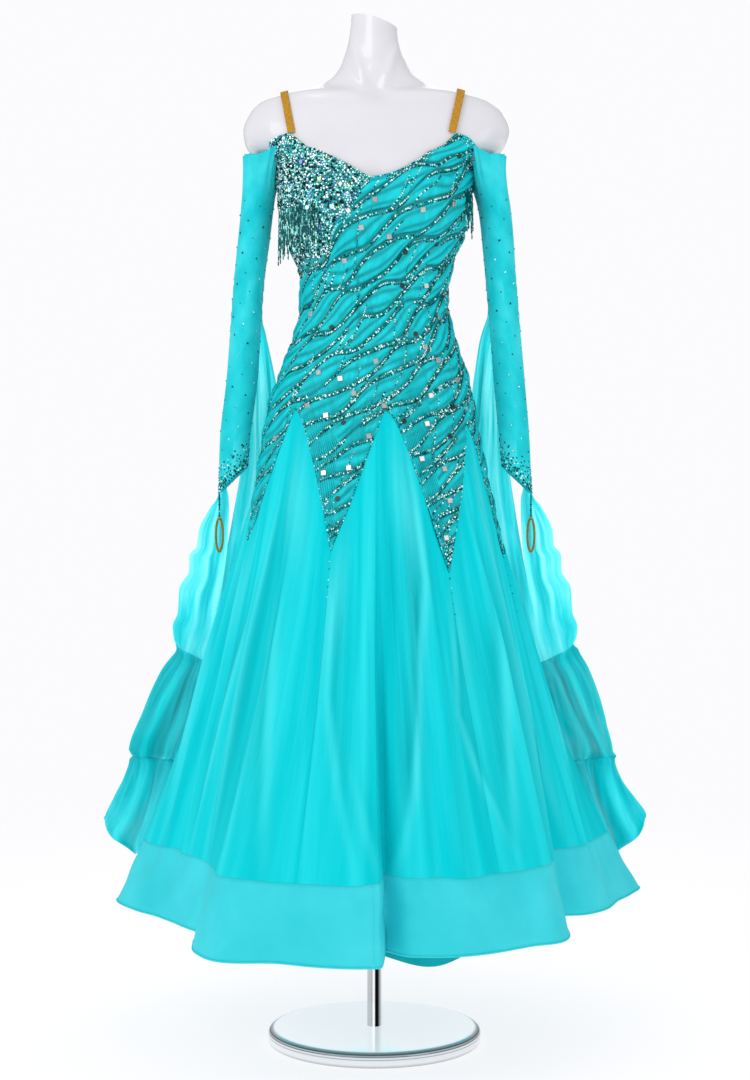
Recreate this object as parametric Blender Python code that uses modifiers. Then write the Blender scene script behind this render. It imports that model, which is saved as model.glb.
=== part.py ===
"""Ballroom dance dress on a limbless display form with a chromed pole and round base.

Metres, +Z up. The front of the dress faces -Y, and +X is the wearer's left.
The origin is the centre of the base's underside. Angles round the body run from the
front (0) towards +X (90), in degrees.
"""

import math

import bmesh
import bpy
import numpy as np

NAME = "ballroom_dress"

# Stand
BASE_RADIUS = 0.159
BASE_THICKNESS = 0.022
BASE_ROUNDING = 0.008
BASE_STEPS = 40
POLE_RADIUS = 0.011
POLE_STEPS = 16
TOUCH_GAP = 0.0003

# Display form
TORSO_BOTTOM = 0.82
TORSO_COLUMNS = 30
TORSO_SHARP_EDGE = 50.0
FORM_INSET = 0.0010
NECK_BEND_Z = 1.465
NECK_TILT = 0.3
NECK_TOP = 1.5255
TORSO_ROWS = (TORSO_BOTTOM, 0.855, 0.925, 0.955, 0.985, 1.010, 1.035, 1.058, 1.080, 1.100, 1.122,
              1.145, 1.168, 1.192, 1.218, 1.245, 1.275, 1.300, 1.312, 1.325, 1.343, 1.3615, 1.385,
              1.403, 1.413, 1.420, 1.430, 1.445, NECK_BEND_Z, 1.500, NECK_TOP)
BUST_ANGLE = 33.0
BUST_HEIGHT = 1.232
BUST_DEPTH = 0.020
BUST_SPREAD_ANGLE = 19.0
BUST_SPREAD_HEIGHT = 0.040
BUST_SIDEWAYS = 0.4

# Cloth
BODICE_WALL = 0.0015
SKIRT_WALL = 0.0013
FLOAT_WALL = 0.0013
CLOTH_GAP = 0.0015
SEAM_GAP = 0.0003
DRAPE_RISE = 0.0034
DRAPE_TILT = 34.0
DRAPE_PITCH = 0.039
BACK_DRAPE_PITCH = 0.090
TROUGH_SHARE = 0.12
EDGE_SHARE = 0.35
FOLD_TOP_Z = 1.277
LEVEL_SNAP = 0.003
FOLD_SNAP = 0.22
CALM_Z = 1.29
CALM_RANGE = 0.06
CALM_SHARE = 0.15
SHARP_FOLD = 9.0
BODY_RADIUS = 0.13
LEVEL_ROWS = (1.343, 1.325, 1.312, 1.300, 1.285)
CUP_LEAST = 0.004
CUP_ROWS = (1.270, 1.255, 1.240, 1.225, 1.208, 1.188)

# Dropped waist and godets
GODETS = 7
GODET_STEP = 360.0 / GODETS
FIRST_APEX = 5.0
APEX_Z = 0.942
CHORDS = 4
GODET_COLUMNS = 20
PLEATS = 5
PLEAT_DEPTH = 0.0085
PLEAT_START_Z = 0.80
PLEAT_MEAN = 0.75
PLEAT_UNEVEN = 0.50
PLEAT_WARP = 0.16
CROWDING_STEPS = 25
PLEAT_ONSET = 0.75
PLEAT_FADE = 0.86
APEX_CUT = 0.12
APEX_LOWERING = 0.003
ROWS_BELOW_POINTS = (0.30, 0.62, 1.0)
HEM_SEAM_Z = 0.297
BAND_STEP = 4.0
FRONT_FOLD = (-2.5, -0.6, 0.8, 1.75, 2.7, 4.4)
HEM_Z = 0.200
FLARE_LINEAR = 0.62
LOBE_POWER = 2.2
MEAN_HEM_RADIUS = 0.37
UNDERSKIRT_TOP = 0.80
UNDERSKIRT_ROWS = (UNDERSKIRT_TOP, 0.72, 0.56, 0.38, 0.197)
UNDERSKIRT_COLUMNS = 36
UNDER_HEM = 0.258
UNDER_WAVE = 0.008
UNDER_SWING = 0.012
UNDER_GAP = 0.0022
DIP = 0.030
DIP_ANGLE = 18.0
DIP_SPREAD = 16.0

# Display form: height, half width, depth to the front and back, squareness, sideways shift
BODY = {
    "z": (0.820, 0.880, 0.942, 1.005, 1.050, 1.095, 1.125, 1.155, 1.185, 1.215, 1.245, 1.275,
          1.300, 1.312, 1.325, 1.343, 1.3615, 1.385, 1.403, 1.413, 1.420, 1.430, 1.445, 1.465,
          1.500, 1.5255),
    "half": (0.146, 0.151, 0.1495, 0.1315, 0.1165, 0.1055, 0.1050, 0.1095, 0.120, 0.131, 0.139, 0.1415,
             0.1425, 0.150, 0.182, 0.197, 0.2005, 0.192, 0.175, 0.150, 0.120, 0.088, 0.063, 0.050,
             0.0385, 0.0360),
    "front": (0.098, 0.104, 0.104, 0.096, 0.088, 0.082, 0.082, 0.087, 0.095, 0.103, 0.106, 0.104,
              0.100, 0.096, 0.090, 0.083, 0.077, 0.070, 0.062, 0.056, 0.052, 0.050, 0.049, 0.045,
              0.041, 0.038),
    "back": (0.112, 0.122, 0.120, 0.106, 0.094, 0.084, 0.084, 0.087, 0.091, 0.095, 0.098, 0.100,
             0.101, 0.101, 0.099, 0.095, 0.090, 0.083, 0.075, 0.067, 0.060, 0.055, 0.052, 0.049,
             0.044, 0.040),
    "square": (2.1, 2.1, 2.1, 2.1, 2.1, 2.1, 2.1, 2.1, 2.1, 2.2, 2.2, 2.3,
               2.4, 2.5, 2.6, 2.6, 2.6, 2.6, 2.6, 2.5, 2.4, 2.2, 2.0, 2.0,
               2.0, 2.0),
    "shift": (-0.004, -0.005, -0.0045, -0.001, -0.0005, 0.0, 0.0, 0.0, 0.0, 0.0, 0.0, 0.0,
              0.0, 0.0, 0.001, 0.002, 0.003, 0.003, 0.002, 0.001, 0.0, 0.0, 0.0, 0.0,
              0.0, 0.0),
}

# Hem of the skirt from above: the lobes that its stiff band falls into
HEM = {
    "angle": (-115, -100, -85, -75.5, -64, -53.6, -44, -36.5, -28, -18, -11, -4, 0.9, 2.6, 8, 20,
              37, 44, 58.6, 66, 74.8, 78, 86, 96, 104, 112, 122, 135, 150, 165, 180, 195, 210,
              232, 245),
    "radius": (0.360, 0.398, 0.355, 0.324, 0.311, 0.310, 0.355, 0.400, 0.427, 0.405, 0.413, 0.417,
               0.414, 0.314, 0.350, 0.363, 0.352, 0.361, 0.318, 0.292, 0.282, 0.313, 0.345, 0.370,
               0.410, 0.449, 0.420, 0.340, 0.395, 0.350, 0.400, 0.345, 0.405, 0.330, 0.360),
}

# Height of each long point of the bodice, the first one between the first two godets
PEAK_Z = (0.937, 0.920, 0.935, 0.940, 0.938, 0.936, 0.940)
POINT_Z = (0.702, 0.722, 0.716, 0.712, 0.716, 0.744, 0.733)
SEAM_BEND = {-1: 1.1, 1: 1.7}
DRAW_TOP = 1.10

# Degrees by which the cloth draws the apexes and points aside from their even angles
DRAW = {
    "even": (-180, -98, -72, -46.4, -20.7, 5, 30.7, 56.4, 82, 108, 180),
    "by": (0, 0, 0, 0.3, 4.2, 1.7, 1.3, 5.5, 2.0, 0, 0),
}

# Upper edge of the dress round the body
NECKLINE = {
    "angle": (-180, -170, -160, -153, -146.4, -140, -133.6, -127, -121, -112, -100, -90, -80, -70,
              -59.3, -52.9, -46.4, -40, -33.6, -27.1, -20.7, -14.3, -7.9, -1.4, 5, 11.4, 17.9,
              24.3, 30.7, 37.1, 43.6, 50, 56.4, 70, 80, 90, 100, 112, 121, 127, 133.6, 140,
              146.4, 153, 160, 170, 180),
    "z": (1.205, 1.212, 1.240, 1.290, 1.344, 1.340, 1.329, 1.322, 1.315, 1.307, 1.300, 1.298,
          1.303, 1.311, 1.320, 1.327, 1.336, 1.342, 1.344, 1.323, 1.3076, 1.298, 1.287, 1.276,
          1.2795, 1.286, 1.296, 1.3086, 1.344, 1.340, 1.332, 1.325, 1.319, 1.311, 1.303, 1.298,
          1.300, 1.307, 1.315, 1.322, 1.329, 1.340, 1.344, 1.290, 1.240, 1.212, 1.205),
}

# Edge of the crossing drape over the cup
OVERLAP = {
    "angle": (-95, -70, -52, -42, -37, -31, -26, -21, -13.8, -10, -4.3, -1.4),
    "z": (1.148, 1.150, 1.153, 1.158, 1.163, 1.183, 1.203, 1.214, 1.224, 1.249, 1.2646, 1.271),
}

# Sleeves: height, centre on each side, half width, half depth, centre to the back, squareness
SLEEVE = {
    "z": (0.815, 0.861, 0.9075, 0.9795, 1.059, 1.140, 1.200, 1.242, 1.297, 1.315, 1.332, 1.357),
    "left": (0.2130, 0.2110, 0.2080, 0.2000, 0.1940, 0.1875, 0.1810, 0.1768, 0.1704, 0.1683,
             0.1668, 0.1655),
    "right": (0.2150, 0.2123, 0.2095, 0.2030, 0.1958, 0.1900, 0.1856, 0.1810, 0.1704, 0.1688,
              0.1678, 0.1665),
    "half": (0.0205, 0.0220, 0.0233, 0.0240, 0.0236, 0.0235, 0.0243, 0.0245, 0.0247, 0.0258,
             0.0278, 0.0290),
    "depth": (0.024, 0.026, 0.028, 0.031, 0.034, 0.038, 0.042, 0.049, 0.077, 0.091, 0.092, 0.093),
    "back": (-0.006, -0.005, -0.004, -0.002, 0.0, 0.002, 0.003, 0.004, 0.004, 0.004, 0.004, 0.004),
    "square": (2.0, 2.0, 2.0, 2.0, 2.0, 2.1, 2.2, 2.4, 4.0, 5.5, 6.0, 6.0),
}
SLEEVE_TURNS = (0, 22.5, 45, 67.5, 90, 112.5, 135, 157.5, 180, 201, 222, 234, 270, 306, 318, 339)
SLEEVE_ROWS = (0.0, 0.045, 0.10, 0.19, 0.30, 0.42, 0.56, 0.70, 0.85, 1.0)
SLEEVE_WALL = 0.0012
SLEEVE_TOP = 1.3125
SLEEVE_TOP_RISE = 0.017
SLEEVE_TOP_CURVE = 0.6
SLEEVE_TOP_INNER = 1.295
FACING_START = 0.70
FACING_RANGE = 0.10
CUFF_INNER_Z = 0.860
CUFF_POINT_Z = 0.819

STRAP_WIDTH = 0.011
STRAP_WALL = 0.0013
STRAP_TOP_X = {-1: 0.134, 1: 0.128}
STRAP_LOW_X = {-1: 0.1215, 1: 0.1135}
STRAP_ENDS_Z = 1.3448
STRAP_ROWS = (STRAP_ENDS_Z, 1.365, 1.382, 1.396, 1.407, 1.4125)
SHOULDER_SLOPE = 0.30
STRAP_CREST_Z = 1.4185
STRAP_CREST_RISE = 0.4
STRAP_LIFT = 0.0016
LOOP_Z = 0.7575
LOOP_HALF_WIDTH = 0.0058
LOOP_HALF_HEIGHT = 0.0255
LOOP_POINTS = 16
CORD_RADIUS = 0.0012

# Floats: rails of each tier on the outer side and at the back, from the top down
ELBOW_PANEL = {
    "z": (1.094, 1.050, 1.000, 0.940, 0.880, 0.800, 0.700, 0.585),
    "outer_x": (0.1740, 0.1745, 0.1755, 0.1800, 0.1860, 0.2020, 0.2260, 0.2560),
    "outer_y": (0.038, 0.040, 0.041, 0.044, 0.048, 0.062, 0.095, 0.150),
    "back_x": (0.1660, 0.1570, 0.1500, 0.1430, 0.1300, 0.1100, 0.0950, 0.0800),
    "back_y": (0.043, 0.062, 0.085, 0.115, 0.150, 0.195, 0.245, 0.295),
}
WRIST_TIER = {
    "z": (0.817, 0.796, 0.7606, 0.739, 0.7255, 0.704, 0.6765, 0.664, 0.641, 0.6225, 0.596),
    "outer_x": (0.2365, 0.2500, 0.2670, 0.2690, 0.2800, 0.2800, 0.2945, 0.2950, 0.2965, 0.3040,
                0.3015),
    "outer_y": (0.004, 0.010, 0.018, 0.022, 0.024, 0.027, 0.029, 0.030, 0.031, 0.031, 0.030),
    "back_x": (0.2225, 0.2205, 0.2215, 0.2230, 0.2245, 0.2280, 0.2320, 0.2350, 0.2380, 0.2420,
               0.2500),
    "back_y": (0.016, 0.026, 0.038, 0.046, 0.052, 0.064, 0.082, 0.092, 0.108, 0.122, 0.140),
}
MIDDLE_TIER = {
    "z": (0.592, 0.550, 0.490, 0.415),
    "outer_x": (0.3020, 0.3220, 0.3480, 0.3760),
    "outer_y": (0.032, 0.050, 0.075, 0.100),
    "back_x": (0.0800, 0.0850, 0.0920, 0.1000),
    "back_y": (0.297, 0.330, 0.365, 0.405),
}
FLOUNCE = {
    "z": (0.4145, 0.378, 0.343, 0.311),
    "outer_x": (0.3765, 0.3885, 0.4090, 0.4285),
    "outer_y": (0.101, 0.118, 0.135, 0.150),
    "back_x": (0.1005, 0.1050, 0.1100, 0.1150),
    "back_y": (0.406, 0.425, 0.445, 0.465),
}

EDGE_TRIM = 0.04
TIER_GAP = 0.00081
FLOAT_LAP = 0.0006
FOLD_AT_TOP = 0.25
FOLD_PHASE = 0.6
SAG_REACH = 0.55
EDGE_FADE = 0.12
ELBOW_TURNS = np.linspace(150, 245, 9)
ELBOW_Z = np.full(9, 1.094)
WRIST_TURNS = np.linspace(92, 150, 5)
WRIST_Z = np.array((0.821, 0.8215, 0.8237, 0.827, 0.8313))

# How much lower the flounce's hem hangs, by share of the way from its outer corner to its back
DROOP = {
    "share": (0, 0.05, 0.10, 0.20, 0.45, 1),
    "by": (0, 0.021, 0.043, 0.071, 0.080, 0.075),
}

# Fringe: a strip on the bodice with strands of uneven length
FRINGES = {
    "cup": {"angles": (-85, -31), "z": (1.240, 1.236), "strands": 22, "length": 0.058, "lift": 0.0024},
    "underarm": {"angles": (64, 82), "z": (1.268, 1.262), "strands": 7, "length": 0.045, "lift": 0.0040},
}
FRINGE_STRIP = 0.004
FRINGE_WALL = 0.0016
STRAND_TAPER = 0.55
STRAND_SWING = 0.02

# Finishes: base colour, roughness, metallic
FINISH = {
    "form": ((0.86, 0.86, 0.89), 0.22, 0.0),
    "chrome": ((0.80, 0.81, 0.83), 0.06, 1.0),
    "drape": ((0.0, 0.55, 0.58), 0.55, 0.0),
    "stoned": ((0.18, 0.45, 0.46), 0.35, 0.2),
    "mesh": ((0.0, 0.60, 0.62), 0.60, 0.0),
    "chiffon": ((0.01, 0.63, 0.66), 0.60, 0.0),
    "band": ((0.04, 0.68, 0.72), 0.55, 0.0),
    "satin": ((0.10, 0.70, 0.72), 0.38, 0.0),
    "lining": ((0.0, 0.42, 0.45), 0.65, 0.0),
    "strap": ((0.56, 0.29, 0.03), 0.60, 0.0),
    "fringe": ((0.01, 0.22, 0.22), 0.30, 0.1),
}


def smooth(table, column, at, period=None):
    """Value of a table's column at the given keys, on a curve that never overshoots the rows."""
    key = next(iter(table))
    keys, values = np.array(table[key], float), np.array(table[column], float)
    at = np.asarray(at, float)
    if period:
        at = (at - keys[0]) % period + keys[0]
    width = np.diff(keys)
    rise = np.diff(values) / width
    slope = np.zeros(len(keys))
    same = rise[:-1] * rise[1:] > 0
    slope[1:-1][same] = 2 / (1 / rise[:-1][same] + 1 / rise[1:][same])
    left = np.clip(np.searchsorted(keys, at) - 1, 0, len(width) - 1)
    share = np.clip((at - keys[left]) / width[left], 0, 1)
    part = width[left]
    return (
        (1 + 2 * share) * (1 - share) ** 2 * values[left]
        + share * (1 - share) ** 2 * part * slope[left]
        + share ** 2 * (3 - 2 * share) * values[left + 1]
        + share ** 2 * (share - 1) * part * slope[left + 1]
    )


def signed_power(value, power):
    return np.sign(value) * np.abs(value) ** power


def body(angle, z):
    """Surface of the display form."""
    turn = np.radians(angle)
    bend = 2 / smooth(BODY, "square", z)
    depth = np.where(np.cos(turn) > 0, smooth(BODY, "front", z), smooth(BODY, "back", z))
    x = smooth(BODY, "half", z) * signed_power(np.sin(turn), bend) + smooth(BODY, "shift", z)
    y = -depth * signed_power(np.cos(turn), bend)
    away = np.abs((angle + 180) % 360 - 180)
    bust = BUST_DEPTH * np.exp(
        -(((away - BUST_ANGLE) / BUST_SPREAD_ANGLE) ** 2)
        - ((z - BUST_HEIGHT) / BUST_SPREAD_HEIGHT) ** 2
    )
    return np.stack([x + BUST_SIDEWAYS * bust * np.sin(turn), y - bust, z + 0 * x], axis=-1)


def normals(surface, angle, z, step=0.6, rise=0.004):
    """Outward direction of a surface given by angle and height."""
    along = surface(angle + step, z) - surface(angle - step, z)
    up = surface(angle, z + rise) - surface(angle, z - rise)
    across = np.cross(along, up)
    return across / np.linalg.norm(across, axis=-1, keepdims=True)


def lean(surface, angle, z):
    """Outward level direction of a surface."""
    along = surface(angle + 0.6, z) - surface(angle - 0.6, z)
    out = np.stack([along[..., 1], -along[..., 0], 0 * along[..., 0]], axis=-1)
    return out / np.linalg.norm(out, axis=-1, keepdims=True)


def skirt_base(angle, z):
    """Inner face of the dress without pleats: close to the form above the godets, then flared."""
    ring_z = np.maximum(z, APEX_Z)
    ring = body(angle, ring_z) + CLOTH_GAP * lean(body, angle, ring_z)
    drop = np.clip((APEX_Z - z) / (APEX_Z - HEM_Z), 0, 1.1)
    flare = FLARE_LINEAR * drop + (1 - FLARE_LINEAR) * drop ** 2
    turn = np.radians(angle)
    level = 0 * turn
    out = np.stack([np.sin(turn) + level, -np.cos(turn) + level, level], axis=-1)
    hem = MEAN_HEM_RADIUS * out
    lobe = smooth(HEM, "radius", angle, period=360) - MEAN_HEM_RADIUS
    point = ring + flare[..., None] * (hem - ring) + (drop ** LOBE_POWER * lobe)[..., None] * out
    point[..., 2] = z
    return point


def pleat_share(even):
    """How far an even angle lies across its godet: -1 and 1 at the seams, 0 under the apex."""
    half = GODET_STEP / 2
    return ((even - FIRST_APEX + half) % GODET_STEP) / half - 1


def godet_number(even):
    return np.floor((even - FIRST_APEX + GODET_STEP / 2) / GODET_STEP).astype(int) % GODETS


def placed(even, z):
    """Angle where the cloth of an even angle lies: drawn aside at the zigzag seam and below."""
    share = np.clip((DRAW_TOP - z) / (DRAW_TOP - APEX_Z), 0, 1)
    return even + share * smooth(DRAW, "by", even, period=360)


def dress(even, z):
    """Inner face of the dress by even angle, without pleats."""
    return skirt_base(placed(even, z), z)


def crowding(share, number):
    """How far the pleats crowd towards one side of a godet."""
    return PLEAT_WARP * np.sin(math.pi * share) * np.sin(1.7 * number + 1.0)


def skirt(even, z):
    """Inner face of the pleated skirt, by even angle: pleats uneven in width and depth."""
    share, number = pleat_share(even), godet_number(even)
    wave = np.sin(math.pi * PLEATS * (share + crowding(share, number) + 1))
    uneven = PLEAT_MEAN + PLEAT_UNEVEN * np.sin(2.3 * number + 4.3 * share)
    fall = np.clip((PLEAT_START_Z - z) / (PLEAT_START_Z - HEM_SEAM_Z), 0, 1)
    depth = PLEAT_DEPTH * np.sin(math.pi * fall ** PLEAT_ONSET * PLEAT_FADE) * uneven
    return dress(even, z) + (depth * wave)[..., None] * lean(skirt_base, placed(even, z), z)


def material(name):
    """Principled material of a finish, made once."""
    found = bpy.data.materials.get(name)
    if found:
        return found
    colour, roughness, metallic = FINISH[name]
    made = bpy.data.materials.new(name)
    made.use_nodes = True
    shader = made.node_tree.nodes["Principled BSDF"]
    shader.inputs["Base Color"].default_value = (*colour, 1)
    shader.inputs["Roughness"].default_value = roughness
    shader.inputs["Metallic"].default_value = metallic
    return made


def add(name, mesh, finish, parts):
    """Object of the part, with a material of its own."""
    own = material(finish).copy()
    own.name = name
    mesh.materials.clear()
    mesh.materials.append(own)
    piece = bpy.data.objects.new(name, mesh)
    parts.objects.link(piece)
    mesh.shade_smooth()
    return piece


def wall(name, inner, outer, finish, parts, closed=False):
    """Closed cloth wall between two grids of points, rows by columns."""
    rows, columns = inner.shape[:2]
    mesh = bmesh.new()
    sides = [[[mesh.verts.new(p) for p in row] for row in grid] for grid in (inner, outer)]
    last = columns if closed else columns - 1
    for grid in sides:
        for r in range(rows - 1):
            for c in range(last):
                a, b = grid[r][c], grid[r][(c + 1) % columns]
                d, e = grid[r + 1][c], grid[r + 1][(c + 1) % columns]
                mesh.faces.new((a, b, e))
                mesh.faces.new((a, e, d))
    near, far = sides
    rims = [(r, c, r, (c + 1) % columns) for r in (0, rows - 1) for c in range(last)]
    if not closed:
        rims += [(r, c, r + 1, c) for c in (0, columns - 1) for r in range(rows - 1)]
    for r, c, s, d in rims:
        mesh.faces.new((near[r][c], near[s][d], far[s][d], far[r][c]))
    bmesh.ops.remove_doubles(mesh, verts=mesh.verts, dist=1e-6)
    bmesh.ops.recalc_face_normals(mesh, faces=mesh.faces)
    made = bpy.data.meshes.new(name)
    mesh.to_mesh(made)
    mesh.free()
    if sum(f.area * f.normal.dot(f.center) for f in made.polygons) < 0:
        made.flip_normals()
    return add(name, made, finish, parts)


def turned(name, profile, steps, finish, parts):
    """Round piece from a profile of radius and height, run from the top down its outer side."""
    mesh = bpy.data.meshes.new(name)
    mesh.from_pydata([(r, 0, z) for r, z in profile], [(i, i + 1) for i in range(len(profile) - 1)], [])
    piece = add(name, mesh, finish, parts)
    screw = piece.modifiers.new("turn", "SCREW")
    screw.steps = screw.render_steps = steps
    screw.use_merge_vertices = True
    screw.merge_threshold = 0.0001
    mesh.shade_smooth()
    mesh.set_sharp_from_angle(angle=math.radians(35))
    return piece


def make_stand(parts):
    edge = BASE_ROUNDING
    turned(
        "stand_base",
        [
            (0, BASE_THICKNESS),
            (BASE_RADIUS - 1.6 * edge, BASE_THICKNESS),
            (BASE_RADIUS - 0.6 * edge, BASE_THICKNESS - 0.18 * edge),
            (BASE_RADIUS - 0.1 * edge, BASE_THICKNESS - 0.7 * edge),
            (BASE_RADIUS, BASE_THICKNESS - 1.3 * edge),
            (BASE_RADIUS - 0.2 * edge, 0.25 * edge),
            (BASE_RADIUS - 0.5 * edge, 0),
            (0, 0),
        ],
        BASE_STEPS, "chrome", parts,
    )
    foot = BASE_THICKNESS + TOUCH_GAP
    top = TORSO_BOTTOM - TOUCH_GAP
    turned(
        "stand_pole", [(0, top), (POLE_RADIUS, top), (POLE_RADIUS, foot), (0, foot)],
        POLE_STEPS, "chrome", parts,
    )


def make_form(parts):
    """Limbless torso as a loft of rings, closed at the bottom and at the slanted neck."""
    angles = np.arange(TORSO_COLUMNS) * 360 / TORSO_COLUMNS
    angle, z = np.meshgrid(angles, TORSO_ROWS)
    rings = body(angle, z) - FORM_INSET * lean(body, angle, z)
    neck = np.clip((z - NECK_BEND_Z) / (NECK_TOP - NECK_BEND_Z), 0, 1)
    rings[..., 2] -= NECK_TILT * neck * rings[..., 0]
    mesh = bmesh.new()
    points = [[mesh.verts.new(p) for p in ring] for ring in rings]
    for low, high in zip(points, points[1:]):
        for c in range(TORSO_COLUMNS):
            d = (c + 1) % TORSO_COLUMNS
            mesh.faces.new((low[c], low[d], high[d]))
            mesh.faces.new((low[c], high[d], high[c]))
    mesh.faces.new(points[0][::-1])
    mesh.faces.new(points[-1])
    made = bpy.data.meshes.new("form_torso")
    mesh.to_mesh(made)
    mesh.free()
    add("form_torso", made, "form", parts)
    made.set_sharp_from_angle(angle=math.radians(TORSO_SHARP_EDGE))


def seam_drop(share, side):
    """How far the zigzag seam has come down from an apex to a point, from 0 to 1."""
    return np.abs(share) ** SEAM_BEND[side]


def waist_edge(even):
    """Height of the zigzag seam between the bodice and the godets."""
    share, number = pleat_share(even), godet_number(even)
    peak, tips = np.array(PEAK_Z)[number], np.array(POINT_Z)
    tip = np.where(share > 0, tips[number], tips[(number - 1) % GODETS])
    drop = np.where(share > 0, seam_drop(share, 1), seam_drop(share, -1))
    return peak - drop * (peak - tip)


def slant(angles):
    """Rise of the drape's folds round the body."""
    return math.tan(math.radians(DRAPE_TILT)) * np.radians(angles) * BODY_RADIUS


def draped_panel(name, angles, top, pitch, parts, finish="drape"):
    """Bodice panel whose rows run along the ridges and troughs of its drape."""
    bottom = waist_edge(angles) + 2.0 * SEAM_GAP
    rise = slant(angles)
    first = math.ceil(2 * ((top - rise) / pitch).max())
    last = math.floor(2 * ((bottom - rise) / pitch).min())
    lines = np.arange(first, last - 1, -1) / 2
    z = lines[:, None] * pitch + rise[None, :]
    ridge = np.where(lines % 1 == 0, 1.0, TROUGH_SHARE)[:, None] + 0 * z
    ridge[z > FOLD_TOP_Z] = EDGE_SHARE
    z = np.minimum(z, FOLD_TOP_Z)
    levels = np.array(LEVEL_ROWS)[:, None] + 0 * z[:1]
    z = np.concatenate([levels, z])
    ridge = np.concatenate([EDGE_SHARE + 0 * levels, ridge])
    snap = np.where(np.arange(len(z)) < len(levels), LEVEL_SNAP, FOLD_SNAP * pitch)[:, None]
    ridge[(z > top - snap) | (z < bottom + snap)] = EDGE_SHARE
    z = np.where(z > top - snap, top, np.where(z < bottom + snap, bottom, z))
    z = np.minimum.accumulate(z, axis=0)
    z = np.concatenate([top[None, :], z, bottom[None, :]])
    edge = 0 * ridge[:1] + EDGE_SHARE
    ridge = np.concatenate([edge, ridge, edge])
    keep = [r for r in range(len(z)) if r == 0 or np.abs(z[r] - z[r - 1]).max() > 1e-9]
    z, ridge = z[keep], ridge[keep]
    angle = np.broadcast_to(angles, z.shape)
    calm = np.clip((CALM_Z - z) / CALM_RANGE, CALM_SHARE, 1)
    inner = dress(angle, z)
    out = normals(dress, angle, z)
    outer = inner + (BODICE_WALL + DRAPE_RISE * ridge * calm)[..., None] * out
    panel = wall(name, inner, outer, finish, parts)
    panel.data.set_sharp_from_angle(angle=math.radians(SHARP_FOLD))


def columns_between(start, steps):
    """Angles a quarter of half a godet apart, so that they meet every apex and point."""
    return FIRST_APEX + (start + np.arange(steps + 1)) * GODET_STEP / 2 / CHORDS


def trimmed(angles):
    """The same angles with the first and last drawn in by half a seam's gap."""
    inset = math.degrees(SEAM_GAP / BODY_RADIUS)
    drawn = angles.astype(float).copy()
    drawn[0] += inset
    drawn[-1] -= inset
    return drawn


def make_bodice(parts):
    front = columns_between(-15, 28)
    left = front < FIRST_APEX - 1
    neck = smooth(NECKLINE, "z", (front + 180) % 360 - 180)
    overlap = smooth(OVERLAP, "z", front)
    top = np.where(left, np.minimum(neck, overlap), neck)
    draped_panel("bodice_front", trimmed(front), top, DRAPE_PITCH, parts)
    back = columns_between(13, 28)
    back_top = smooth(NECKLINE, "z", (back + 180) % 360 - 180)
    draped_panel("bodice_back", trimmed(back), back_top, BACK_DRAPE_PITCH, parts)
    cup = front[left]
    low = top[left] + 2.5 * SEAM_GAP
    high = np.maximum(neck[left], low + CUP_LEAST)
    z = np.array(LEVEL_ROWS + CUP_ROWS)[:, None] + 0 * low
    z = np.where(z > high - LEVEL_SNAP, high, np.where(z < low + LEVEL_SNAP, low, z))
    z = np.concatenate([high[None, :], z, low[None, :]])
    angle = np.broadcast_to(trimmed(cup), z.shape)
    inner = skirt_base(angle, z)
    outer = inner + BODICE_WALL * normals(skirt_base, angle, z)
    wall("bodice_cup", inner, outer, "stoned", parts)


def make_godets(parts):
    """Godets: pointed at the top, pleated, ending at the seam of the hem band."""
    half = GODET_STEP / 2
    widths = [k / CHORDS for k in range(1, CHORDS + 1)]
    spaced = np.linspace(-1, 1, GODET_COLUMNS + 1)
    for number in range(GODETS):
        share = spaced
        for _ in range(CROWDING_STEPS):
            share = spaced - crowding(share, number)
        apex = FIRST_APEX + number * GODET_STEP
        ends = {-1: POINT_Z[number - 1], 1: POINT_Z[number]}
        rows = []
        for width in [APEX_CUT / CHORDS] + widths:
            edge = {}
            for side, tip in ends.items():
                drop = seam_drop(max(width, 1 / CHORDS), side)
                if width < 1 / CHORDS:
                    drop = APEX_CUT * drop + APEX_LOWERING
                edge[side] = PEAK_Z[number] - drop * (PEAK_Z[number] - tip)
            rows.append((width, edge[-1] + (edge[1] - edge[-1]) * (share + 1) / 2))
        tips = rows[-1][1]
        for fall in ROWS_BELOW_POINTS:
            rows.append((1.0, tips + fall * (HEM_SEAM_Z + TOUCH_GAP - tips)))
        angle = np.array([apex + share * half * width for width, _ in rows])
        z = np.array([height for _, height in rows])
        radius = np.linalg.norm(dress(angle, z)[..., :2], axis=-1)
        angle -= share * np.degrees(SEAM_GAP / radius)
        inner = skirt(angle, z)
        out = normals(skirt, angle, z, step=0.9)
        out[:, [0, -1]] = normals(dress, angle, z)[:, [0, -1]]
        outer = inner + SKIRT_WALL * out
        wall(f"godet_{number + 1}", inner[::-1], outer[::-1], "chiffon", parts)


def band_columns():
    """Angles round the hem: even, and closer at the sharp fold in front."""
    even = np.arange(-178, 180, BAND_STEP)
    even = even[(even < FRONT_FOLD[0]) | (even > FRONT_FOLD[-1])]
    return np.sort(np.concatenate([even, FRONT_FOLD]))


def make_hem_band(parts):
    angles = band_columns()
    heights = np.array([HEM_SEAM_Z - TOUCH_GAP, HEM_Z])
    angle, z = np.meshgrid(angles, heights)
    inner = skirt_base(angle, z)
    outer = inner + SKIRT_WALL * normals(skirt_base, angle, z)
    outer[..., 2] = z
    inner[..., 2] = z
    wall("hem_band", inner, outer, "band", parts, closed=True)


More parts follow.
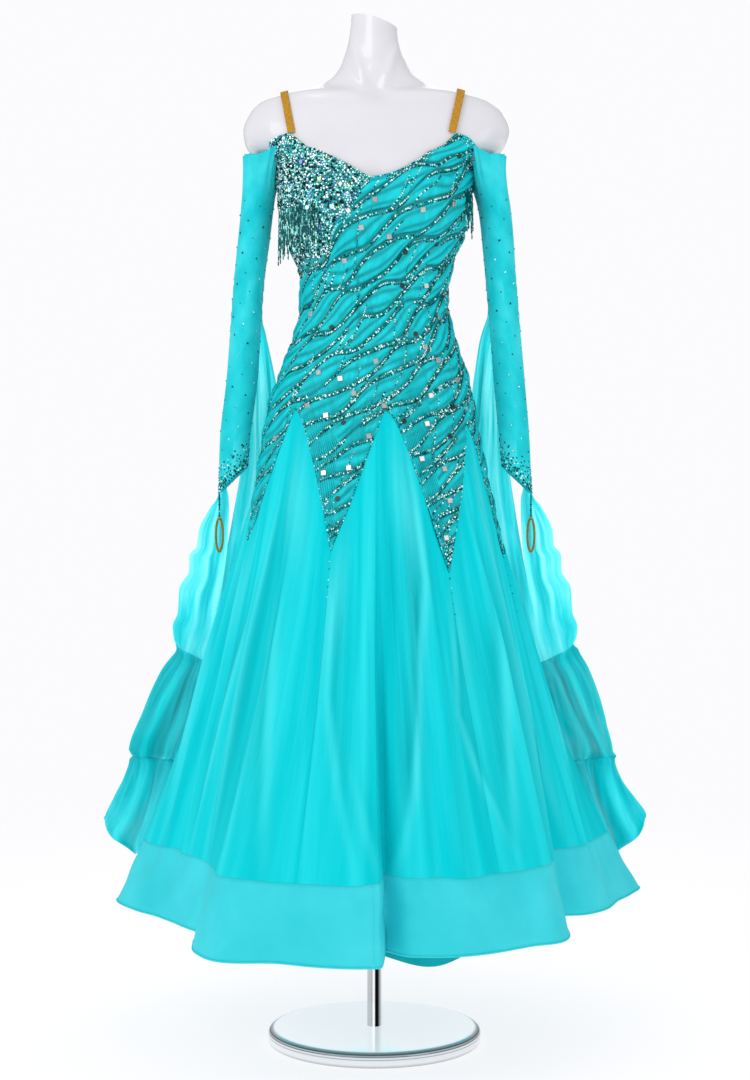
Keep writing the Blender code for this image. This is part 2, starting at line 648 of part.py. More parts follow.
def make_underskirt(parts):
    """Plain inner layer: from under the godets' tops to a hem that dips below theirs in front."""
    angles = np.arange(UNDERSKIRT_COLUMNS) * 360 / UNDERSKIRT_COLUMNS
    angle, z = np.meshgrid(angles, np.array(UNDERSKIRT_ROWS))
    dip = np.exp(-(((angle + 180) % 360 - 180 - DIP_ANGLE) / DIP_SPREAD) ** 2)
    z[-1] -= DIP * dip[-1]
    drop = (UNDERSKIRT_TOP - z) / (UNDERSKIRT_TOP - HEM_Z)
    top = skirt_base(angle, UNDERSKIRT_TOP + 0 * z)
    hem_radius = UNDER_HEM + UNDER_WAVE * np.cos(np.radians(8 * angle)) + UNDER_SWING * dip
    turn = np.radians(angle)
    out = np.stack([np.sin(turn), -np.cos(turn), 0 * turn], axis=-1)
    point = top + drop[..., None] * (hem_radius[..., None] * out - top)
    point[..., 2] = z
    inward = UNDER_GAP * out
    outer = point - inward
    inner = outer - SKIRT_WALL * out
    wall("underskirt", inner, outer, "lining", parts, closed=True)


def sleeve_surface(side, turn, z, inset=0.0):
    """Point of a sleeve: turn 0 at the front, 90 away from the body."""
    bend = 2 / smooth(SLEEVE, "square", z)
    half = smooth(SLEEVE, "half", z) - inset
    depth = smooth(SLEEVE, "depth", z) - inset
    centre = smooth(SLEEVE, "right" if side > 0 else "left", z)
    x = centre + half * signed_power(np.sin(np.radians(turn)), bend)
    y = smooth(SLEEVE, "back", z) - depth * signed_power(np.cos(np.radians(turn)), bend)
    return np.stack([side * x, y, z + 0 * x], axis=-1)


def sleeve_edges(turn):
    """Upper and lower end of a sleeve, by turn."""
    outward = np.sin(np.radians(turn))
    free_top = SLEEVE_TOP + SLEEVE_TOP_RISE * np.clip(-outward, 0, 1) ** SLEEVE_TOP_CURVE
    facing = np.clip((-outward - FACING_START) / FACING_RANGE, 0, 1)
    top = free_top + (SLEEVE_TOP_INNER - free_top) * facing
    low = CUFF_INNER_Z + (CUFF_POINT_Z - CUFF_INNER_Z) * (1 + outward) / 2
    return top, low


def make_sleeves(parts):
    turns = np.array(SLEEVE_TURNS)
    top, low = sleeve_edges(turns)
    share = np.array(SLEEVE_ROWS)[:, None]
    z = top + (low - top) * share
    turn = np.broadcast_to(turns, z.shape)
    for name, side in (("left", -1), ("right", 1)):
        outer = sleeve_surface(side, turn, z)
        inner = sleeve_surface(side, turn, z, inset=SLEEVE_WALL)
        wall(f"sleeve_{name}", inner, outer, "mesh", parts, closed=True)


def make_loops(parts):
    """Finger loop under each cuff, on a short beaded stem."""
    for name, side in (("left", -1), ("right", 1)):
        point = sleeve_surface(side, np.array(90.0), np.array(CUFF_POINT_Z))
        x, y = point[0] - side * SLEEVE_WALL, point[1]
        stem_low = LOOP_Z + LOOP_HALF_HEIGHT + CORD_RADIUS + TOUCH_GAP
        stem_high = CUFF_POINT_Z - TOUCH_GAP
        cord = bpy.data.curves.new(f"loop_stem_{name}", "CURVE")
        cord.dimensions = "3D"
        cord.bevel_depth, cord.bevel_resolution, cord.use_fill_caps = CORD_RADIUS, 1, True
        line = cord.splines.new("POLY")
        line.points.add(1)
        line.points[0].co = (x, y, stem_high, 1)
        line.points[1].co = (x, y, stem_low, 1)
        link_cord(f"loop_stem_{name}", cord, "stoned", parts)
        ring = bpy.data.curves.new(f"finger_loop_{name}", "CURVE")
        ring.dimensions = "3D"
        ring.bevel_depth, ring.bevel_resolution = CORD_RADIUS, 1
        line = ring.splines.new("POLY")
        line.use_cyclic_u = True
        line.points.add(LOOP_POINTS - 1)
        for i in range(LOOP_POINTS):
            turn = 2 * math.pi * i / LOOP_POINTS
            wide = LOOP_HALF_WIDTH * math.sin(turn)
            line.points[i].co = (x + wide, y, LOOP_Z + LOOP_HALF_HEIGHT * math.cos(turn), 1)
        link_cord(f"finger_loop_{name}", ring, "strap", parts)


def link_cord(name, curve, finish, parts):
    own = material(finish).copy()
    own.name = name
    curve.materials.append(own)
    parts.objects.link(bpy.data.objects.new(name, curve))


def strap_path(side):
    """Points and outward directions of a strap over the shoulder, from front to back."""
    up = [(z, "front") for z in STRAP_ROWS]
    down = [(z, "back") for z in STRAP_ROWS[::-1]]
    points = []
    for z, face in up + down:
        share = (z - STRAP_ENDS_Z) / (STRAP_ROWS[-1] - STRAP_ENDS_Z)
        x = STRAP_LOW_X[side] + share * (STRAP_TOP_X[side] - STRAP_LOW_X[side])
        level = np.array(z)
        half, bend = smooth(BODY, "half", level), smooth(BODY, "square", level)
        shift = side * smooth(BODY, "shift", level)
        depth = smooth(BODY, face, level)
        y = depth * max(0.0, 1 - abs((x - shift) / half) ** bend) ** (1 / bend)
        points.append((side * x, -y if face == "front" else y, z))
    points = np.array(points)
    middle = len(STRAP_ROWS)
    top = (points[middle - 1] + points[middle]) / 2
    top[2] = STRAP_CREST_Z + STRAP_CREST_RISE * (STRAP_TOP_X[-1] - STRAP_TOP_X[side])
    return np.insert(points, middle, top, axis=0)


def make_straps(parts):
    """Straps: flat bands that rest on the shoulders."""
    for name, side in (("left", -1), ("right", 1)):
        path = strap_path(side)
        along = np.gradient(path, axis=0)
        along /= np.linalg.norm(along, axis=1, keepdims=True)
        slope = np.clip((path[:, 2:3] - STRAP_ENDS_Z) / (STRAP_CREST_Z - STRAP_ENDS_Z), 0, 1)
        width = np.array([[side, 0, 0]]) - slope * np.array([[0, 0, SHOULDER_SLOPE]])
        out = np.cross(width, along) * side
        out /= np.linalg.norm(out, axis=1, keepdims=True)
        width = np.cross(out, along)
        width /= np.linalg.norm(width, axis=1, keepdims=True)
        low = path + STRAP_LIFT * out
        across = np.array([-0.5, 0.5]) * STRAP_WIDTH
        inner = low[:, None, :] + across[None, :, None] * width[:, None, :]
        outer = inner + STRAP_WALL * out[:, None, :]
        wall(f"strap_{name}", inner, outer, "strap", parts)


def rail(table, side):
    """Outer and back rail of a float's tier."""
    z = np.array(table["z"])
    outer = np.stack([side * np.array(table["outer_x"]), np.array(table["outer_y"]), z], axis=-1)
    back = np.stack([side * np.array(table["back_x"]), np.array(table["back_y"]), z], axis=-1)
    return outer, back


def tier_grid(table, side, columns, folds, depth, sag, droop=0.0):
    """Points of a float's tier: swept round the body between its rails, with folds that grow."""
    outer, back = rail(table, side)
    share = np.linspace(0, 1, columns + 1)
    radius = [np.hypot(r[:, 0], r[:, 1]) for r in (outer, back)]
    turn = [np.arctan2(side * r[:, 0], -r[:, 1]) for r in (outer, back)]
    angle = turn[0][:, None] + (turn[1] - turn[0])[:, None] * share
    fall = np.linspace(0, 1, len(outer))[:, None]
    fold = depth * (FOLD_AT_TOP + (1 - FOLD_AT_TOP) * fall)
    fold = fold * np.sin(2 * math.pi * folds * share + FOLD_PHASE)
    fold = fold * np.clip(share / EDGE_FADE, 0, 1)
    reach = radius[0][:, None] + (radius[1] - radius[0])[:, None] * share + fold
    hang = sag[0] + (sag[1] - sag[0]) * fall
    z = outer[:, 2][:, None] - hang * np.sin(math.pi * SAG_REACH * share) + 0 * reach
    z = z - droop * fall * smooth(DROOP, "by", share)
    return np.stack([side * reach * np.sin(angle), -reach * np.cos(angle), z], axis=-1)


def meet(grid, row, target):
    """Grid drawn over, most of all near one of its ends, so that this end lies on the target."""
    fall = np.linspace(0, 1, len(grid))[:, None, None]
    weight = fall ** 2 if row == -1 else (1 - fall) ** 2
    return grid + weight * (target - grid[row])


def between(points, columns):
    """Points spread along the straight stretches between the given ones."""
    at = np.linspace(0, len(points) - 1, columns + 1)
    return np.stack([np.interp(at, np.arange(len(points)), points[:, k]) for k in range(3)], axis=-1)


def hang_tier(name, grid, parts):
    along = np.gradient(grid, axis=1)
    down = np.gradient(grid, axis=0)
    out = np.cross(along, down)
    out[[0, -1], :, 2] = 0
    out /= np.linalg.norm(out, axis=-1, keepdims=True)
    outward = np.sign((out * grid * [1, 1, 0]).sum())
    wall(name, grid, grid + FLOAT_WALL * outward * out, "satin", parts)


def make_floats(parts):
    """Four tiers a side; the seam of the middle tier carries on from both tiers above it."""
    gap = np.array([0, 0, TIER_GAP])
    for name, side in (("left", -1), ("right", 1)):
        middle = tier_grid(MIDDLE_TIER, side, columns=12, folds=3.0, depth=0.008, sag=(0.060, 0.040))
        wrist = tier_grid(WRIST_TIER, side, columns=4, folds=1.0, depth=0.003, sag=(0, 0.010))
        elbow = tier_grid(ELBOW_PANEL, side, columns=8, folds=1.5, depth=0.004, sag=(0, 0))
        flounce = tier_grid(FLOUNCE, side, columns=24, folds=4.0, depth=0.014, sag=(0.040, 0), droop=1.0)
        elbow = meet(elbow, 0, sleeve_surface(side, ELBOW_TURNS, ELBOW_Z, inset=-FLOAT_LAP))
        wrist = meet(wrist, 0, sleeve_surface(side, WRIST_TURNS, WRIST_Z, inset=-FLOAT_LAP))
        wrist = meet(wrist, -1, middle[0][:5] + gap)
        elbow = meet(elbow, -1, middle[0][4:] + gap)
        wrist[:, -1] += EDGE_TRIM * (wrist[:, -2] - wrist[:, -1])
        elbow[:, 0] += EDGE_TRIM * (elbow[:, 1] - elbow[:, 0])
        flounce = meet(flounce, 0, between(middle[-1], flounce.shape[1] - 1) - gap)
        for tier, grid in (("elbow", elbow), ("wrist", wrist), ("middle", middle),
                           ("flounce", flounce)):
            hang_tier(f"float_{tier}_{name}", grid, parts)


def fringe_strand(mesh, top, drop, out):
    """Strand of beads: a tapering bar below the four points at its top."""
    middle = sum((np.array(v.co) for v in top), np.zeros(3)) / 4
    tip = []
    for vert in top:
        spot = middle + (np.array(vert.co) - middle) * [STRAND_TAPER, 1.0, 1.0]
        spot[2] -= drop
        spot[:2] += STRAND_SWING * drop * out[:2]
        tip.append(mesh.verts.new(spot))
    for k in range(4):
        mesh.faces.new((top[k], top[(k + 1) % 4], tip[(k + 1) % 4], tip[k]))
    mesh.faces.new(tip)


def fringe_comb(name, angles, z, lengths, lift, parts):
    """Backing strip on the bodice with strands that hang from it."""
    rows = np.stack([z, z - FRINGE_STRIP])
    angle = np.broadcast_to(angles, rows.shape)
    out = normals(skirt_base, angle, rows)
    back = skirt_base(angle, rows) + lift * out
    front = back + FRINGE_WALL * out
    mesh = bmesh.new()
    near = [[mesh.verts.new(p) for p in row] for row in back]
    far = [[mesh.verts.new(p) for p in row] for row in front]
    for c in range(len(angles) - 1):
        mesh.faces.new((far[0][c], far[1][c], far[1][c + 1], far[0][c + 1]))
        mesh.faces.new((near[0][c], near[0][c + 1], near[1][c + 1], near[1][c]))
        mesh.faces.new((near[0][c], far[0][c], far[0][c + 1], near[0][c + 1]))
        low = (near[1][c], near[1][c + 1], far[1][c + 1], far[1][c])
        if c % 2:
            mesh.faces.new(low)
        else:
            fringe_strand(mesh, low, lengths[c // 2], out[1][c])
    mesh.faces.new((near[0][0], near[1][0], far[1][0], far[0][0]))
    mesh.faces.new((near[0][-1], far[0][-1], far[1][-1], near[1][-1]))
    bmesh.ops.triangulate(mesh, faces=mesh.faces)
    bmesh.ops.recalc_face_normals(mesh, faces=mesh.faces)
    made = bpy.data.meshes.new(name)
    mesh.to_mesh(made)
    mesh.free()
    add(name, made, "fringe", parts)


def make_fringe(parts):
    """Fringe across the lower cup, and at the other underarm."""
    for name, row in FRINGES.items():
        strands = row["strands"]
        angles = np.linspace(*row["angles"], 2 * strands - 1)
        z = np.linspace(*row["z"], len(angles))
        lengths = [row["length"] + 0.014 * math.sin(2.1 * i) + 0.008 * math.sin(5.3 * i)
                   for i in range(strands)]
        fringe_comb(f"fringe_{name}", angles, z, lengths, row["lift"], parts)


def main():
    for old in list(bpy.data.objects):
        bpy.data.objects.remove(old, do_unlink=True)
    parts = bpy.data.collections.new(NAME)
    bpy.context.scene.collection.children.link(parts)
    make_stand(parts)
    make_form(parts)
    make_bodice(parts)
    make_godets(parts)
    make_hem_band(parts)
    make_underskirt(parts)
    make_sleeves(parts)
    make_loops(parts)
    make_straps(parts)
    make_floats(parts)
    make_fringe(parts)


main()
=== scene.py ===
"""Looks of a turquoise ballroom dance dress on a limbless display form.

Metres, +Z up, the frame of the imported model: the front faces -Y and +X is the wearer's left.
Angles round the body run from the front (0) towards +X (90), in degrees.
"""

import math
from functools import cache

import bpy
import numpy as np
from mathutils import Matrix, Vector


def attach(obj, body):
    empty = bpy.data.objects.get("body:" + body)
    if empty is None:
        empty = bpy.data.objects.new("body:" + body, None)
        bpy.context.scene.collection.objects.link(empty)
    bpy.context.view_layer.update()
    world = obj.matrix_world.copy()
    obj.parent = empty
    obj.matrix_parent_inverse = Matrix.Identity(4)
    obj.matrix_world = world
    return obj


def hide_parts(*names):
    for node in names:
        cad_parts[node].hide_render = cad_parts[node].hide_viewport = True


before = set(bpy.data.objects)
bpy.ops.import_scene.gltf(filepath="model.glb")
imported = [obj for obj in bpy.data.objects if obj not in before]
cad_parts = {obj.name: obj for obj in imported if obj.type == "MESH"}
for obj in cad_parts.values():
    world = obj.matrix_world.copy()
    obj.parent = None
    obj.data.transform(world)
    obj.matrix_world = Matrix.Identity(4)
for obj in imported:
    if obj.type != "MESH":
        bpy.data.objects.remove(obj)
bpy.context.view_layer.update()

# ---------------------------------------------------------------- sizes shared with the solids
TOUCH_GAP = 0.0003
SEAM_GAP = 0.0003
BASE_RADIUS = 0.159
BASE_THICKNESS = 0.022
BASE_ROUNDING = 0.008
POLE_RADIUS = 0.011
TORSO_BOTTOM = 0.82
FORM_INSET = 0.0010
NECK_BEND_Z = 1.465
NECK_TILT = 0.3
NECK_TOP = 1.5255
BUST_ANGLE = 33.0
BUST_HEIGHT = 1.232
BUST_DEPTH = 0.020
BUST_SPREAD_ANGLE = 19.0
BUST_SPREAD_HEIGHT = 0.040
BUST_SIDEWAYS = 0.4
BODICE_WALL = 0.0015
SKIRT_WALL = 0.0013
CLOTH_GAP = 0.0015
DRAPE_RADIUS = 0.13
GODETS = 7
GODET_STEP = 360.0 / GODETS
FIRST_APEX = 5.0
APEX_Z = 0.942
PLEATS = 5
PLEAT_DEPTH = 0.0085
PLEAT_MEAN = 0.75
PLEAT_UNEVEN = 0.50
PLEAT_WARP = 0.16
PLEAT_ONSET = 0.75
PLEAT_FADE = 0.86
PLEAT_START_Z = 0.80
HEM_SEAM_Z = 0.297
HEM_Z = 0.200
FLARE_LINEAR = 0.62
LOBE_POWER = 2.2
MEAN_HEM_RADIUS = 0.37
UNDERSKIRT_TOP = 0.80
UNDERSKIRT_LOW = 0.197
UNDERSKIRT_INSET = 0.0008
UNDER_HEM_RADIUS = 0.258
UNDER_WAVE = 0.008
UNDER_SWING = 0.012
DIP = 0.030
DIP_ANGLE = 18
DIP_SPREAD = 16
PEAK_Z = (0.937, 0.920, 0.935, 0.940, 0.938, 0.936, 0.940)
POINT_Z = (0.702, 0.722, 0.716, 0.712, 0.716, 0.744, 0.733)
SEAM_BEND = {-1: 1.1, 1: 1.7}
DRAW_TOP = 1.10
DRAW = {
    "even": (-180, -98, -72, -46.4, -20.7, 5, 30.7, 56.4, 82, 108, 180),
    "by": (0, 0, 0, 0.3, 4.2, 1.7, 1.3, 5.5, 2.0, 0, 0),
}

BODY = {
    "z": (0.820, 0.880, 0.942, 1.005, 1.050, 1.095, 1.125, 1.155, 1.185, 1.215, 1.245, 1.275,
          1.300, 1.312, 1.325, 1.343, 1.3615, 1.385, 1.403, 1.413, 1.420, 1.430, 1.445, 1.465,
          1.500, 1.5255),
    "half": (0.146, 0.151, 0.1495, 0.1315, 0.1165, 0.1055, 0.1050, 0.1095, 0.120, 0.131, 0.139,
             0.1415, 0.1425, 0.150, 0.182, 0.197, 0.2005, 0.192, 0.175, 0.150, 0.120, 0.088, 0.063,
             0.050, 0.0385, 0.0360),
    "front": (0.098, 0.104, 0.104, 0.096, 0.088, 0.082, 0.082, 0.087, 0.095, 0.103, 0.106, 0.104,
              0.100, 0.096, 0.090, 0.083, 0.077, 0.070, 0.062, 0.056, 0.052, 0.050, 0.049, 0.045,
              0.041, 0.038),
    "back": (0.112, 0.122, 0.120, 0.106, 0.094, 0.084, 0.084, 0.087, 0.091, 0.095, 0.098, 0.100,
             0.101, 0.101, 0.099, 0.095, 0.090, 0.083, 0.075, 0.067, 0.060, 0.055, 0.052, 0.049,
             0.044, 0.040),
    "square": (2.1, 2.1, 2.1, 2.1, 2.1, 2.1, 2.1, 2.1, 2.1, 2.2, 2.2, 2.3,
               2.4, 2.5, 2.6, 2.6, 2.6, 2.6, 2.6, 2.5, 2.4, 2.2, 2.0, 2.0,
               2.0, 2.0),
    "shift": (-0.004, -0.005, -0.0045, -0.001, -0.0005, 0.0, 0.0, 0.0, 0.0, 0.0, 0.0, 0.0,
              0.0, 0.0, 0.001, 0.002, 0.003, 0.003, 0.002, 0.001, 0.0, 0.0, 0.0, 0.0,
              0.0, 0.0),
}
HEM = {
    "angle": (-115, -100, -85, -75.5, -64, -53.6, -44, -36.5, -28, -18, -11, -4, 0.9, 2.6, 8, 20,
              37, 44, 58.6, 66, 74.8, 78, 86, 96, 104, 112, 122, 135, 150, 165, 180, 195, 210,
              232, 245),
    "radius": (0.360, 0.398, 0.355, 0.324, 0.311, 0.310, 0.355, 0.400, 0.427, 0.405, 0.413, 0.417,
               0.414, 0.314, 0.350, 0.363, 0.352, 0.361, 0.318, 0.292, 0.282, 0.313, 0.345, 0.370,
               0.410, 0.449, 0.420, 0.340, 0.395, 0.350, 0.400, 0.345, 0.405, 0.330, 0.360),
}
NECKLINE = {
    "angle": (-180, -170, -160, -153, -146.4, -140, -133.6, -127, -121, -112, -100, -90, -80, -70,
              -59.3, -52.9, -46.4, -40, -33.6, -27.1, -20.7, -14.3, -7.9, -1.4, 5, 11.4, 17.9,
              24.3, 30.7, 37.1, 43.6, 50, 56.4, 70, 80, 90, 100, 112, 121, 127, 133.6, 140,
              146.4, 153, 160, 170, 180),
    "z": (1.205, 1.212, 1.240, 1.290, 1.344, 1.340, 1.329, 1.322, 1.315, 1.307, 1.300, 1.298,
          1.303, 1.311, 1.320, 1.327, 1.336, 1.342, 1.344, 1.323, 1.3076, 1.298, 1.287, 1.276,
          1.2795, 1.286, 1.296, 1.3086, 1.344, 1.340, 1.332, 1.325, 1.319, 1.311, 1.303, 1.298,
          1.300, 1.307, 1.315, 1.322, 1.329, 1.340, 1.344, 1.290, 1.240, 1.212, 1.205),
}
OVERLAP = {
    "angle": (-95, -70, -52, -42, -37, -31, -26, -21, -13.8, -10, -4.3, -1.4),
    "z": (1.148, 1.150, 1.153, 1.158, 1.163, 1.183, 1.203, 1.214, 1.224, 1.249, 1.2646, 1.271),
}
SLEEVE = {
    "z": (0.815, 0.861, 0.9075, 0.9795, 1.059, 1.140, 1.200, 1.242, 1.297, 1.315, 1.332, 1.357),
    "left": (0.2130, 0.2110, 0.2080, 0.2000, 0.1940, 0.1875, 0.1810, 0.1768, 0.1704, 0.1683,
             0.1668, 0.1655),
    "right": (0.2150, 0.2123, 0.2095, 0.2030, 0.1958, 0.1900, 0.1856, 0.1810, 0.1704, 0.1688,
              0.1678, 0.1665),
    "half": (0.0205, 0.0220, 0.0233, 0.0240, 0.0236, 0.0235, 0.0243, 0.0245, 0.0247, 0.0258,
             0.0278, 0.0290),
    "depth": (0.024, 0.026, 0.028, 0.031, 0.034, 0.038, 0.042, 0.049, 0.077, 0.091, 0.092, 0.093),
    "back": (-0.006, -0.005, -0.004, -0.002, 0.0, 0.002, 0.003, 0.004, 0.004, 0.004, 0.004, 0.004),
    "square": (2.0, 2.0, 2.0, 2.0, 2.0, 2.1, 2.2, 2.4, 4.0, 5.5, 6.0, 6.0),
}
SLEEVE_TOP = 1.3125
SLEEVE_TOP_RISE = 0.017
SLEEVE_TOP_CURVE = 0.6
SLEEVE_TOP_INNER = 1.307
CUFF_INNER_Z = 0.860
CUFF_POINT_Z = 0.819
FACING_START = 0.70
FACING_RANGE = 0.10
STRAP_WIDTH = 0.011
STRAP_WALL = 0.0013
STRAP_TOP_X = {-1: 0.134, 1: 0.128}
STRAP_LOW_X = {-1: 0.1215, 1: 0.1135}
STRAP_ENDS_Z = 1.3448
STRAP_CREST_Z = 1.4185
STRAP_CREST_RISE = 0.4
STRAP_LIFT = 0.0016
STRAP_ROWS = (STRAP_ENDS_Z, 1.365, 1.382, 1.396, 1.407, 1.4125)
SHOULDER_SLOPE = 0.30
LOOP_Z = 0.7575
LOOP_HALF_WIDTH = 0.0058
LOOP_HALF_HEIGHT = 0.0255
CORD_RADIUS = 0.0012
CORD_PLUMP = 0.0006
CUFF_COUNT = 40
ELBOW_PANEL = {
    "z": (1.094, 1.050, 1.000, 0.940, 0.880, 0.800, 0.700, 0.585),
    "outer_x": (0.1740, 0.1745, 0.1755, 0.1800, 0.1860, 0.2020, 0.2260, 0.2560),
    "outer_y": (0.038, 0.040, 0.041, 0.044, 0.048, 0.062, 0.095, 0.150),
    "back_x": (0.1660, 0.1570, 0.1500, 0.1430, 0.1300, 0.1100, 0.0950, 0.0800),
    "back_y": (0.043, 0.062, 0.085, 0.115, 0.150, 0.195, 0.245, 0.295),
}
WRIST_TIER = {
    "z": (0.817, 0.796, 0.7606, 0.739, 0.7255, 0.704, 0.6765, 0.664, 0.641, 0.6225, 0.596),
    "outer_x": (0.2365, 0.2500, 0.2670, 0.2690, 0.2800, 0.2800, 0.2945, 0.2950, 0.2965, 0.3040,
                0.3015),
    "outer_y": (0.004, 0.010, 0.018, 0.022, 0.024, 0.027, 0.029, 0.030, 0.031, 0.031, 0.030),
    "back_x": (0.2225, 0.2205, 0.2215, 0.2230, 0.2245, 0.2280, 0.2320, 0.2350, 0.2380, 0.2420,
               0.2500),
    "back_y": (0.016, 0.026, 0.038, 0.046, 0.052, 0.064, 0.082, 0.092, 0.108, 0.122, 0.140),
}
MIDDLE_TIER = {
    "z": (0.592, 0.550, 0.490, 0.415),
    "outer_x": (0.3020, 0.3220, 0.3480, 0.3760),
    "outer_y": (0.032, 0.050, 0.075, 0.100),
    "back_x": (0.0800, 0.0850, 0.0920, 0.1000),
    "back_y": (0.297, 0.330, 0.365, 0.405),
}
FLOUNCE = {
    "z": (0.4145, 0.378, 0.343, 0.311),
    "outer_x": (0.3765, 0.3885, 0.4090, 0.4285),
    "outer_y": (0.101, 0.118, 0.135, 0.150),
    "back_x": (0.1005, 0.1050, 0.1100, 0.1150),
    "back_y": (0.406, 0.425, 0.445, 0.465),
}
FLOAT_LAP = 0.0006
ELBOW_SEAM = (150, 245)
WRIST_SEAM = {
    "turn": (92.0, 106.5, 121.0, 135.5, 150.0),
    "z": (0.821, 0.8215, 0.8237, 0.827, 0.8313),
}
DROOP = {
    "share": (0, 0.05, 0.10, 0.20, 0.45, 1),
    "by": (0, 0.021, 0.043, 0.071, 0.080, 0.075),
}

# ---------------------------------------------------------------- sizes of the dressing
LINE_BASE = 0.60
LINE_PITCH = 0.0160
LINE_SPREAD = 0.00026
LINE_WAVE = 0.29
LINE_LENGTH = 0.112
LINE_RIPPLE_LENGTH = 0.061
LINES = (-30, 34)
STONE_PITCH = 0.0031
STONE_RADIUS = 0.00180
PUFF = 0.0048
LINE_TILT = 33
LINE_TILT_LOW = 7
CREASE_DEPTH = 0.0019
RIPPLE_DEPTH = 0.0003
SIDE_INSET = 0.13
STONE_LIFT = 0.002
STONE_MARGIN = 0.003
FRONT_RANGE = (-91.43, 88.57)
# Soft reliefs of the form: collar bones, the hollows over them, throat, neck cords, bust line.
COLLAR_Z = 1.405
COLLAR_RISE = 0.10
COLLAR_ROUND = 0.35
BONE_DEPTH = 0.0050
HOLLOW_DEPTH = 0.0060
NOTCH_DEPTH = 0.0075
BUST_LINE_DEPTH = 0.0050
NECK_CORD_DEPTH = 0.0045
THROAT_DEPTH = 0.0020
# Places read from the 750 x 1080 photograph are pixels (x, y); on_photo turns them into
# places on the dress with the camera below.
PHOTO_SIZE = (750, 1080)
CAMERA_BACK = 2.85
CAMERA_HEIGHT = 0.75
LENS = 63.3
SENSOR = 36.0
HALF_PIXEL = 0.5
MIRROR_LIFT = 0.003
# Long folds of the skirt: side of the raised lip, its height in metres, and its path in pixels.
FOLDS = (
    (1, 0.0055, ((401, 430), (412, 500), (420, 581), (418, 640), (416, 695), (409, 794), (400, 845),
                 (388, 877))),
    (1, 0.0022, ((401, 468), (405, 544), (413, 672), (413, 718))),
    (-1, 0.0045, ((352, 752), (362, 794), (373, 839), (386, 879))),
    (-1, 0.0030, ((331, 555), (337, 612), (333, 695), (343, 790), (365, 892))),
    (-1, 0.0036, ((449, 566), (454, 619), (462, 714), (480, 771), (520, 850))),
    (-1, 0.0025, ((451, 760), (462, 847), (470, 877))),
)
FOLD_PLACES = (-0.74, -0.40, 0.02, 0.38, 0.76)
FOLD_HEIGHT = 0.0034
# Square and round mirrors on the front, in pixels, and those on the back, as (angle, height).
SILVER = ((375, 200), (423, 209), (452, 204), (425, 286), (345, 260), (361, 226), (389, 235),
          (313, 315), (438, 318), (320, 374), (341, 380), (308, 406), (326, 416), (369, 437),
          (354, 394), (376, 362), (384, 406), (426, 425), (430, 396), (437, 361), (456, 381),
          (424, 348), (421, 460), (443, 470), (324, 474), (349, 469), (448, 502), (445, 539),
          (276, 439))
ROUNDS = ((332, 328), (338, 500), (344, 424), (404, 422), (402, 286), (405, 251), (413, 373),
          (450, 437), (459, 154), (453, 407), (414.5, 335), (436.7, 243.3))
MIRRORS_BACK = ((120, 1.26), (150, 1.12), (172, 1.05), (-165, 0.98), (-140, 1.08), (-118, 1.20),
                (-125, 0.93), (-150, 0.88), (178, 0.92), (160, 0.84), (135, 0.96), (112, 1.04),
                (-105, 1.00), (105, 0.90), (-172, 1.16), (142, 1.21), (-112, 0.84), (108, 1.16))
# Large stones of the cup: four in pixels, and six as (angle, height).
CUP_STONES_SEEN = ((302, 162), (308, 207), (332, 206), (348, 210))
CUP_STONES = ((-55, 1.262), (-30, 1.270), (-60, 1.215), (-48, 1.200), (-18, 1.262), (-34, 1.205))
CUP_ROWS = (1.145, 1.346, 0.0034)
CUP_STEP = 1.52
SLEEVE_STONES = 110
GOLDEN_TURN = 137.5
CUFF_ROWS = 9
CUFF_PITCH = 0.0048
CUFF_MARGIN = 0.0022
ELBOW_Z = 1.095
GODET_FILL = 0.9994
HEM_FLUTTER = 0.0014
HEM_EDGE_RADIUS = 0.0010
HEM_EDGE_LIFT = 0.0008
FLOAT_LIFT = 0.0004
# Beads: rings of one as (share of the radius, share of the half height), and the fringes'
# long and round ones as (half height, radius).
BEAD_RINGS = ((0.55, -1), (1, -0.45), (1, 0.45), (0.55, 1))
BEAD_LONG = (0.0036, 0.0010)
BEAD_ROUND = (0.0013, 0.0015)
BEAD_GAP = 0.0002
STEM_BEADS = 12
# Fringes: name, angles of its ends, strings, heights of its ends, mean length, lift off the cloth.
FRINGES = (
    ("cup", -85, -31, 43, 1.240, 1.236, 0.058, 0.0024),
    ("underarm", 64, 82, 13, 1.268, 1.262, 0.045, 0.0040),
)
FRINGE_SWAY = 0.02
TAPE_WIDTH = 0.004
# Studio: half side of the floor, direction of the brightest sky, and lamps as (place, size, watts).
FLOOR_SIZE = 60.0
KEY = (-0.35, -0.62, 0.70)
LAMPS = (((-1.6, -2.2, 2.4), 1.6, 17), ((2.0, -1.6, 1.8), 1.2, 5), ((0.3, 2.2, 2.2), 1.8, 9))
LAMP_AIM = (0, 0, 0.9)

rng = np.random.default_rng(7)


def smooth(table, column, at, period=None):
    """Value of a table's column at the given keys, on a curve that never overshoots the rows."""
    key = next(iter(table))
    keys, values = np.array(table[key], float), np.array(table[column], float)
    if keys[0] > keys[-1]:
        keys, values = keys[::-1], values[::-1]
    at = np.asarray(at, float)
    if period:
        at = (at - keys[0]) % period + keys[0]
    width = np.diff(keys)
    rise = np.diff(values) / width
    slope = np.zeros(len(keys))
    same = rise[:-1] * rise[1:] > 0
    slope[1:-1][same] = 2 / (1 / rise[:-1][same] + 1 / rise[1:][same])
    left = np.clip(np.searchsorted(keys, at) - 1, 0, len(width) - 1)
    share = clamp((at - keys[left]) / width[left])
    part = width[left]
    return (
        (1 + 2 * share) * (1 - share) ** 2 * values[left]
        + share * (1 - share) ** 2 * part * slope[left]
        + share ** 2 * (3 - 2 * share) * values[left + 1]
        + share ** 2 * (share - 1) * part * slope[left + 1]
    )


